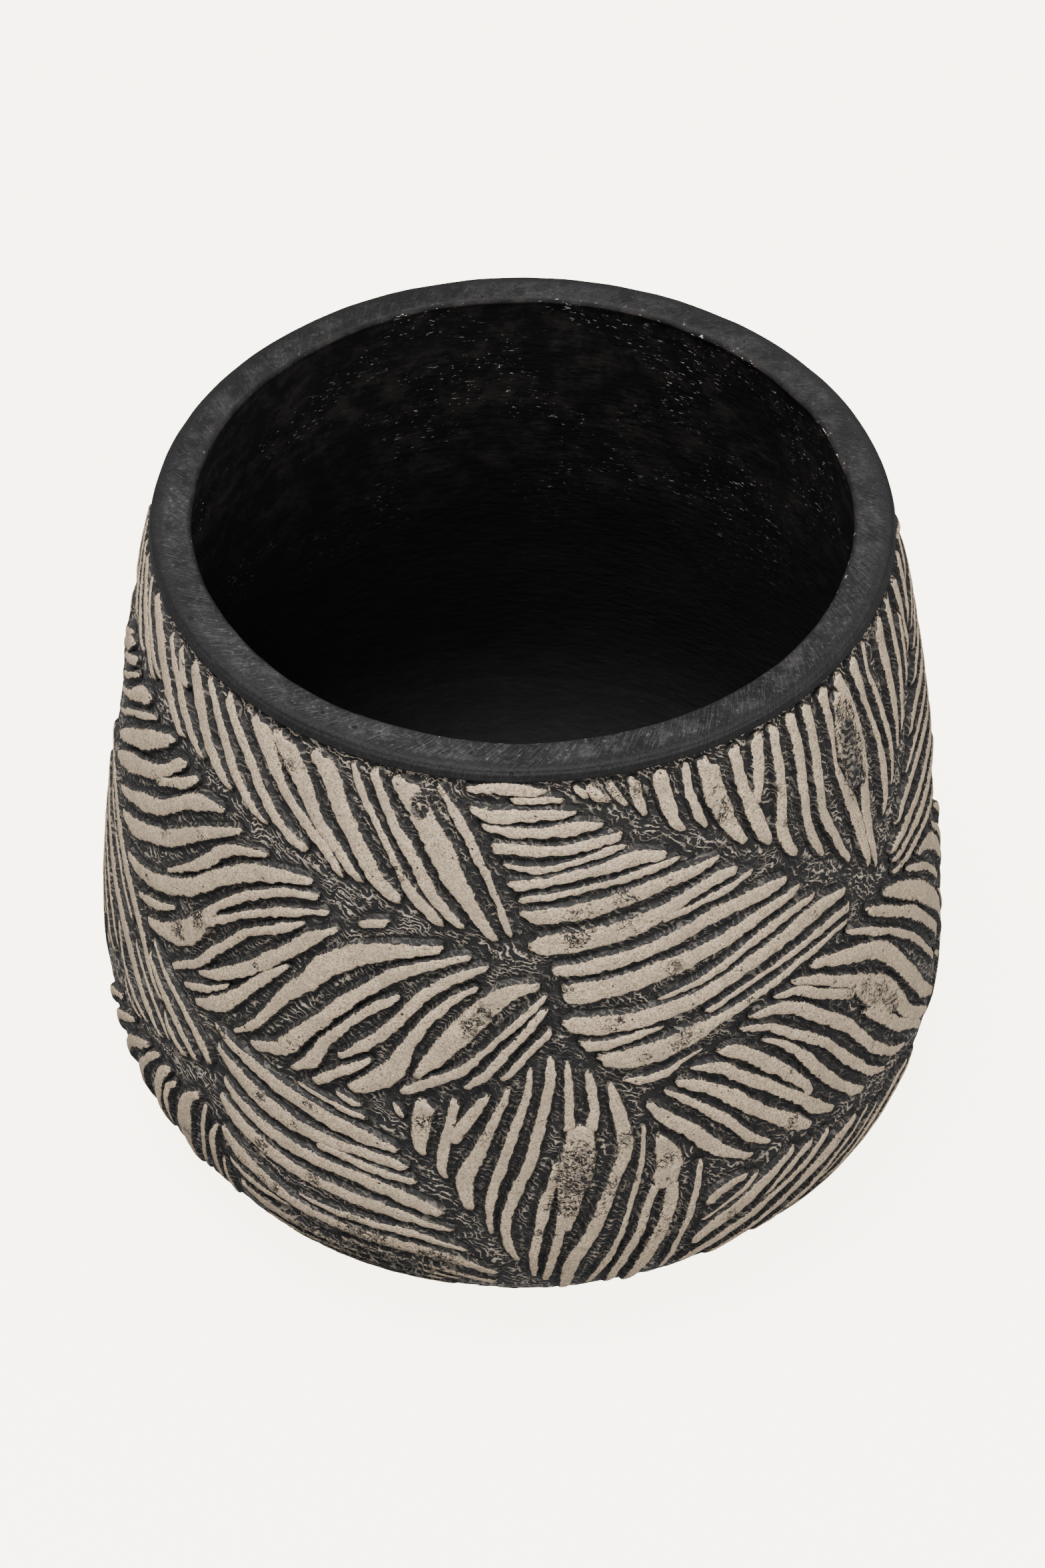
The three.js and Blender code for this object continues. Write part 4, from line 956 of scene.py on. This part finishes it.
front_lines = np.concatenate(ribs_cut)[::3]
front = np.column_stack([on_wall(front_lines[:, 0], front_lines[:, 1], 0) * 1000, front_lines[:, 2]])
laid = {}
for number, (name, rails_and_bow) in enumerate(BACK_LEAVES.items()):
    laid[name] = laid_between(*rails_and_bow, 40 + number)
for name, ribs in laid.items():
    beyond = [as_obstacle(knots) for leaf, its_ribs in laid.items() if leaf != name for knots in its_ribs]
    others = np.concatenate([front] + beyond)
    for extra in range(3):
        before = beside(ribs[0], ribs[1], others)
        after = beside(ribs[-1], ribs[-2], others)
        ribs[:0] = [before] if before else []
        ribs += [after] if after else []
    for place, knots in enumerate(ribs):
        ribs[place] = grown(grown(knots, others)[::-1], others)[::-1]
    laid[name] = ribs = thinned(ribs)
    middle = ribs[len(ribs) // 2][3]
    edge = ribs[len(ribs) // 4][2]
    slip_leaf(name, ribs, worn=[(middle[0], middle[1], 6, 0.9), (edge[0], edge[1], 4, 0.8)])


# ---- Clay courses ----
# Five rings of coiled clay on a thick disc, smoothed into each other inside and gouged outside. The
# ground keeps the gouge's crinkled marks; the mouth is a plain rounded band, dry-brushed, with a painted
# highlight on its front, and the inside carries painted shade, darker towards the bottom.
def course_material():
    """Clay: open is 1 on wide ground, band 1 on the mouth's plain band and inner 1 inside the pot."""
    material, tree, shader, place = new_material("black_clay")
    open_ground = attribute(tree, "open")
    inner = attribute(tree, "inner")
    band = attribute(tree, "band")
    colour, roughness, height = carved_ground(place, open_ground)
    flat = place.stretched(1, 1, 0)
    outward = place.node("VectorMath", {0: flat}, {"operation": "NORMALIZE"})
    reach = place.node("VectorMath", {0: flat}, {"operation": "LENGTH"}, out=1)
    skew = {"Vector": outward.stretched(0.07, 0.07, 0), "Angle": reach * 11.0}
    brushed = place.node("VectorRotate", skew, {"rotation_type": "Z_AXIS"})
    stroke = place.node("CombineXYZ", {2: reach * 0.09})
    stroke = place.node("VectorMath", {0: brushed, 1: stroke}, {"operation": "ADD"})
    scratches = stroke.noise(0.30, 3.0, 0.7)
    mottle = place.noise(8.0, 4.0, 0.65)
    dust = place.noise(0.9, 3.0, 0.7)
    # Painted highlight: the rim is made lighter towards its front, the side nearer the camera, mixed with a
    # random mottle; the scratches, the light patches and the dust below are strongest there.
    front_sheen_and_mottle = place.node("SeparateXYZ", {0: place}, out=1).step(0.050, -0.070) * 0.6
    front_sheen_and_mottle = front_sheen_and_mottle + mottle.step(0.36, 0.66) * 0.4
    rim_colour = mottle.step(0.42, 0.62).blend((0.0050, 0.0048, 0.0048, 1), (0.017, 0.0162, 0.0160, 1))
    scratches_and_sheen = scratches.step(0.50, 0.66) * (front_sheen_and_mottle * 0.60 + 0.12)
    rim_colour = scratches_and_sheen.blend(rim_colour, (0.085, 0.081, 0.078, 1))
    patch = place.noise(5.0, 3.0, 0.6).step(0.52, 0.66) * front_sheen_and_mottle
    rim_colour = (patch * 0.5).blend(rim_colour, (0.060, 0.0575, 0.056, 1))
    dust_and_sheen = dust.step(0.58, 0.70) * (front_sheen_and_mottle * 0.5 + 0.08)
    rim_colour = dust_and_sheen.blend(rim_colour, (0.17, 0.161, 0.152, 1))
    rim_colour = (dust.step(0.46, 0.32) * 0.8).blend(rim_colour, (0.003, 0.003, 0.003, 1))
    side = (reach + (mottle - 0.5) * 0.004).step(0.0722, 0.0738)
    rim_colour = (side * 0.8).blend(rim_colour, (0.0075, 0.0072, 0.0072, 1))
    holes = place.bent(1.2, 0.6).dots(5.5).step(0.075, 0.045)
    rim_colour = holes.blend(rim_colour, (0.004, 0.004, 0.004, 1))
    rim_height = scratches * 0.45 + dust * 0.5 + mottle * 0.3 - holes * 0.8
    lying = place.stretched(1, 1, 2.6)
    flecks = lying.bent(1.4, 1.2).noise(1.45, 2.0).step(0.665, 0.705)
    where = place.noise(24.0, 2.0).step(0.46, 0.62)
    # Painted shade: the inside is painted darker towards the bottom of the pot and lighter up the wall,
    # where the flecks also gather.
    high = place.node("SeparateXYZ", {0: place}, out=2).step(0.075, 0.140)
    cloudy = place.noise(7.0, 5.0, 0.7).step(0.42, 0.72)
    inside_colour = cloudy * (high * 0.9 + 0.1)
    inside_colour = inside_colour.blend((0.0045, 0.0042, 0.0042, 1), (0.034, 0.0290, 0.0265, 1))
    inside_colour = (flecks * where * high * 0.95).blend(inside_colour, (0.85, 0.80, 0.74, 1))
    inside_height = lying.noise(4.0, 4.0, 0.6) * 0.7 + flecks * 0.25
    colour = band.blend(colour, rim_colour)
    colour = inner.blend(colour, inside_colour)
    roughness = roughness + band * (0.60 - roughness)
    roughness = roughness + inner * (0.82 - roughness)
    height = height + band * (rim_height - height)
    height = height + inner * (inside_height - height)
    finish_material(tree, shader, colour, roughness, height, 0.50)
    shader.inputs["Specular IOR Level"].default_value = 0.32
    return material


black_clay = course_material()
AROUND = 900
azimuths = np.arange(AROUND) * 360 / AROUND
cut_points = np.concatenate(ribs_cut)
FLAT_MM_PER_DEGREE = GIRTH / 360
BAND_Z = 161.0


def openness(azimuth, z):
    """0 close to a rib, 1 a few millimetres away from every rib."""
    tree = KDTree(3 * len(cut_points))
    wrapped = [cut_points + [turn_by, 0, 0] for turn_by in (-360, 0, 360)]
    for index, (a, height, half) in enumerate(np.concatenate(wrapped)):
        tree.insert((a * FLAT_MM_PER_DEGREE, height, 0), index)
    tree.balance()
    halves = np.tile(cut_points[:, 2], 3)
    found = []
    for a, height in zip(azimuth.ravel(), z.ravel()):
        place, index, far = tree.find((a * FLAT_MM_PER_DEGREE, height, 0))
        found.append(far - halves[index])
    return np.clip((np.array(found) - 0.25) / 2.2, 0, 1).reshape(azimuth.shape)


def outside_face(heights):
    """The gouged outer face of a course: places and how open the ground is."""
    azimuth, z = np.meshgrid(azimuths, heights)
    clear = openness(azimuth, z)
    gouge = 0.10 * wall_noise(11, azimuth, z, 3.1) + 0.09 * wall_noise(12, azimuth, z, 1.7)
    gouge = gouge * (0.5 + clear)
    swell = 0.16 * wall_noise(13, azimuth, z, 11.0)
    mouth_band = np.clip((z - BAND_Z) / 0.5, 0, 1)
    mouth_band = mouth_band * mouth_band * (3 - 2 * mouth_band)
    ragged = 0.10 * wall_noise(14, azimuth, z, 6.0)
    foot = np.clip(z / 6, 0, 1)
    trough = -0.32 * (1 - clear)
    lift = (-RELIEF + trough + gouge + swell) * (1 - mouth_band) + (ragged - 0.10) * mouth_band
    under_mouth = np.clip((z - 155.5) / 2.5, 0, 1)
    clear = np.maximum(clear, under_mouth)
    lift = lift * foot - RELIEF * (1 - foot)
    slope = lean(z)
    radius = outer(z) + lift * np.sqrt(1 + np.minimum(slope, 2) ** 2) * 0.999
    angle = np.radians(azimuth)
    return np.stack([radius * np.sin(angle), -radius * np.cos(angle), z], -1) / 1000, clear, mouth_band


def inner_radius(z):
    """The inside's radius: an 8 mm wall, rounding in to the floor below 42 mm."""
    drop = np.clip((42 - z) / 32, 0, 1)
    low = 66 + 21 * np.sqrt(1 - drop ** 2)
    return np.where(z < 42, low, outer(z) - 8)


def inside_face(heights):
    """The inner face of a course, with the soft rings left by smoothing the coils."""
    azimuth, z = np.meshgrid(azimuths, heights)
    away = np.clip((z - 10) / 4, 0, 1)
    waver = 0.30 * wall_noise(21, azimuth, z, 16.0) + 0.10 * wall_noise(22, azimuth, z, 5.0)
    rings = 0.07 * np.sin(z * 1.3 + 0.5 * wall_noise(23, azimuth, z, 30.0))
    radius = inner_radius(z) + (waver + rings) * away
    angle = np.radians(azimuth)
    return np.stack([radius * np.sin(angle), -radius * np.cos(angle), z], -1) / 1000


def closed_ring(name, node, loops, values):
    """A ring from loops of places, each all the way round, joined in order and the last to the first."""
    rows = len(loops)
    index = np.arange(rows * AROUND).reshape(rows, AROUND)
    following = np.roll(index, -1, axis=1)
    quads = [np.stack([index[r], following[r], following[(r + 1) % rows], index[(r + 1) % rows]], 1)
             for r in range(rows)]
    piece = new_piece(name, np.concatenate(loops), np.concatenate(quads).tolist(), black_clay, values)
    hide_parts(node)
    return piece


def sharpen(piece, edge_loops):
    """Marks the loops with these numbers as sharp, so the flat joint does not tint the rounded face."""
    mesh = piece.data
    ends = np.empty(len(mesh.edges) * 2, int)
    mesh.edges.foreach_get("vertices", ends)
    row = ends.reshape(-1, 2) // AROUND
    sharp = (row[:, 0] == row[:, 1]) & np.isin(row[:, 0], edge_loops)
    mesh.attributes.new("sharp_edge", "BOOLEAN", "EDGE").data.foreach_set("value", sharp)


def wall_course(node, low, high, step=0.7):
    """One course from one height to another, its outer rows this many mm apart."""
    rise = np.linspace(low, high, 400)
    path = np.concatenate([[0], np.cumsum(np.hypot(np.diff(rise), np.diff(outer(rise))))])
    outer_heights = np.interp(np.linspace(0, path[-1], int(path[-1] / step)), path, rise)
    inner_heights = np.linspace(high, low, max(8, int((high - low) / 2.6)))
    outside, clear, band = outside_face(outer_heights)
    inside = inside_face(inner_heights)
    loops = list(outside) + list(inside)
    count = len(outer_heights)
    inner = np.repeat([0.0] * count + [1.0] * len(inner_heights), AROUND)
    pad = np.zeros(len(inner_heights) * AROUND)
    values = {"open": np.concatenate([clear.ravel(), pad]),
              "band": np.concatenate([band.ravel(), pad]),
              "inner": inner}
    piece = closed_ring("clay_" + node, node, loops, values)
    sharpen(piece, [0, count - 1, count, len(loops) - 1])


# The foot, belly, shoulder and neck courses.
wall_course("foot_wall", 10, 31)
wall_course("belly_wall", 31, 58)
wall_course("shoulder_wall", 58, 106, step=0.8)
wall_course("neck_wall", 106, 148)

# The mouth course: its top is worked flat with both edges rounded over by hand, never quite even.
rise = np.concatenate([np.linspace(148, 160.8, 19), np.linspace(BAND_Z, 163.0, 9)])
outside, clear, band = outside_face(rise)
corner = np.linspace(0, math.pi / 2, 7)[1:]
top_out = [(75.05 - 1.15 + 1.15 * math.cos(a), 162.85 + 1.15 * math.sin(a)) for a in corner]
top_in = [(66.95 + 1.3 - 1.3 * math.sin(a), 162.7 + 1.3 * math.cos(a)) for a in corner]
across_top = [(r, 164.0) for r in np.linspace(73.2, 69, 8)]
top = np.array(top_out + across_top + top_in)
azimuth, place_r = np.meshgrid(azimuths, top[:, 0])
rise = np.repeat(top[:, 1][:, None], AROUND, 1)
share = np.clip((rise - 162.8) / 1.2, 0, 1)
edge_waver = 0.16 * wall_noise(31, azimuth, place_r, 9.0) + 0.05 * wall_noise(32, azimuth, place_r, 3.0)
ragged = 0.10 * wall_noise(14, azimuth, 163.0 + 0 * place_r, 6.0) - 0.10
inward = 0.30 * wall_noise(21, azimuth, 162.7 + 0 * place_r, 16.0)
inward = inward + 0.10 * wall_noise(22, azimuth, 162.7 + 0 * place_r, 5.0)
from_outside = (place_r - 67) / 8
radius = place_r + ragged * np.clip(from_outside, 0, 1) + inward * np.clip(1 - from_outside, 0, 1)
height = rise - (0.12 - 0.12 * wall_noise(33, azimuth, place_r, 24.0) - 0.5 * edge_waver) * share
angle = np.radians(azimuth)
lip = np.stack([radius * np.sin(angle), -radius * np.cos(angle), height], -1) / 1000
inside = inside_face(np.concatenate([[162.0, 161.0], np.linspace(159.5, 148, 6)]))
loops = list(outside) + list(lip) + list(inside)
fades = np.concatenate([band.ravel(), np.ones(lip.shape[0] * AROUND), np.zeros(inside.shape[0] * AROUND)])
inner = np.concatenate([np.zeros(len(outside) * AROUND),
                        np.repeat(np.clip((68.0 - top[:, 0]) / 0.9, 0, 1), AROUND),
                        np.ones(inside.shape[0] * AROUND)])
blank = np.zeros((len(lip) + len(inside)) * AROUND)
mouth = closed_ring("clay_rim_coil", "rim_coil", loops,
                    {"open": np.concatenate([clear.ravel(), blank]), "band": fades, "inner": inner})
sharpen(mouth, [0, len(loops) - 1])

# The floor: a thick disc with the foot's rounded edge, a little dished underneath by drying.
rise = np.linspace(0.02, 10, 300)
path = np.concatenate([[0], np.cumsum(np.hypot(np.diff(rise), np.diff(outer(rise))))])
outside, clear, band = outside_face(np.interp(np.linspace(0, path[-1], 34), path, rise))
outside[0][:, 2] = 0


def disc(radii, z, hollow):
    """Rings of a round face at this height; the hollow one, underneath, is dished."""
    azimuth, radius = np.meshgrid(azimuths, radii)
    soft = np.clip((radii[0] if hollow else 65.0) - radius, 0, 6) / 6
    bumps = 0.14 * wall_noise(41, azimuth, radius, 12.0) + 0.06 * wall_noise(42, azimuth, radius, 4.0)
    height = z + (bumps - 0.15 if not hollow else 0.35 + 0.2 * bumps) * soft
    angle = np.radians(azimuth)
    return np.stack([radius * np.sin(angle), -radius * np.cos(angle), height], -1) / 1000


floor_top = disc(np.concatenate([np.linspace(80, 66, 4), np.linspace(64, 2, 28)]), 10.0, False)
floor_under = disc(np.linspace(59.5, 2, 26), 0.0, True)
loops = list(floor_under[::-1]) + list(outside) + list(floor_top)
rows = len(loops)
index = np.arange(rows * AROUND).reshape(rows, AROUND)
following = np.roll(index, -1, axis=1)
quads = np.concatenate([np.stack([index[r], following[r], following[r + 1], index[r + 1]], 1)
                        for r in range(rows - 1)]).tolist()
quads += [index[0][::-1].tolist(), index[-1].tolist()]
count = len(floor_under) * AROUND
values = {"open": np.concatenate([np.full(count, 0.2), clear.ravel(), np.zeros(len(floor_top) * AROUND)]),
          "band": np.concatenate([np.full(count, 0.55), band.ravel(), np.zeros(len(floor_top) * AROUND)]),
          "inner": np.concatenate([np.zeros(count + clear.size), np.ones(len(floor_top) * AROUND)])}
slab = new_piece("clay_floor_slab", np.concatenate(loops), quads, black_clay, values)
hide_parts("floor_slab")


# ---- Studio ----
# A plain pale floor and broad soft light from above and in front, with the camera half a metre above
# the rim, looking down into the mouth.
def stage_floor():
    """A pale floor that only the camera sees bright, so that it throws no light up on the pot."""
    mesh = bpy.data.meshes.new("floor")
    mesh.from_pydata([(-30, -30, 0), (30, -30, 0), (30, 30, 0), (-30, 30, 0)], [], [(0, 1, 2, 3)])
    material, tree, shader, place = new_material("pale_floor")
    colour = place.noise(90.0, 2.0).step(0.3, 0.7).blend((0.60, 0.585, 0.55, 1), (0.61, 0.595, 0.56, 1))
    tree.links.new(colour.socket, shader.inputs["Base Color"])
    shader.inputs["Roughness"].default_value = 0.95
    shader.inputs["Specular IOR Level"].default_value = 0.0
    shader.inputs["Emission Color"].default_value = (1.0, 0.917, 0.765, 1)
    shader.inputs["Emission Strength"].default_value = 6.2
    mesh.materials.append(material)
    floor = bpy.data.objects.new("floor", mesh)
    bpy.context.scene.collection.objects.link(floor)
    floor.visible_diffuse = False
    floor.visible_glossy = False


def softbox(name, place, aim, size, power):
    """A soft rectangular light that faces a point, its power in watts."""
    light = bpy.data.lights.new(name, "AREA")
    light.shape = "RECTANGLE"
    light.size, light.size_y = size
    light.energy = power
    lamp = bpy.data.objects.new(name, light)
    lamp.location = place
    towards = np.array(aim) - np.array(place)
    lamp.rotation_euler = Vector(towards).to_track_quat("-Z", "Y").to_euler()
    bpy.context.scene.collection.objects.link(lamp)


stage_floor()
softbox("key", (-0.20, -0.30, 1.40), (0, 0, 0.08), (0.6, 0.5), 28.0)
softbox("fill", (0.70, -0.75, 0.65), (0, 0, 0.08), (0.6, 0.8), 5.0)
world = bpy.data.worlds.new("studio")
world.use_nodes = True
world.node_tree.nodes["Background"].inputs["Color"].default_value = (0.97, 0.97, 1.0, 1)
world.node_tree.nodes["Background"].inputs["Strength"].default_value = 0.46
bpy.context.scene.world = world

DISTANCE, ELEVATION, AIM_Z = 0.765, math.radians(46.2), 0.0822
camera_data = bpy.data.cameras.new("camera")
camera_data.lens = 80
camera_data.sensor_width = 36
camera = bpy.data.objects.new("camera", camera_data)
camera.location = (0, -DISTANCE * math.cos(ELEVATION), AIM_Z + DISTANCE * math.sin(ELEVATION))
camera.rotation_euler = (math.pi / 2 - ELEVATION, 0, 0)
bpy.context.scene.collection.objects.link(camera)
bpy.context.scene.camera = camera
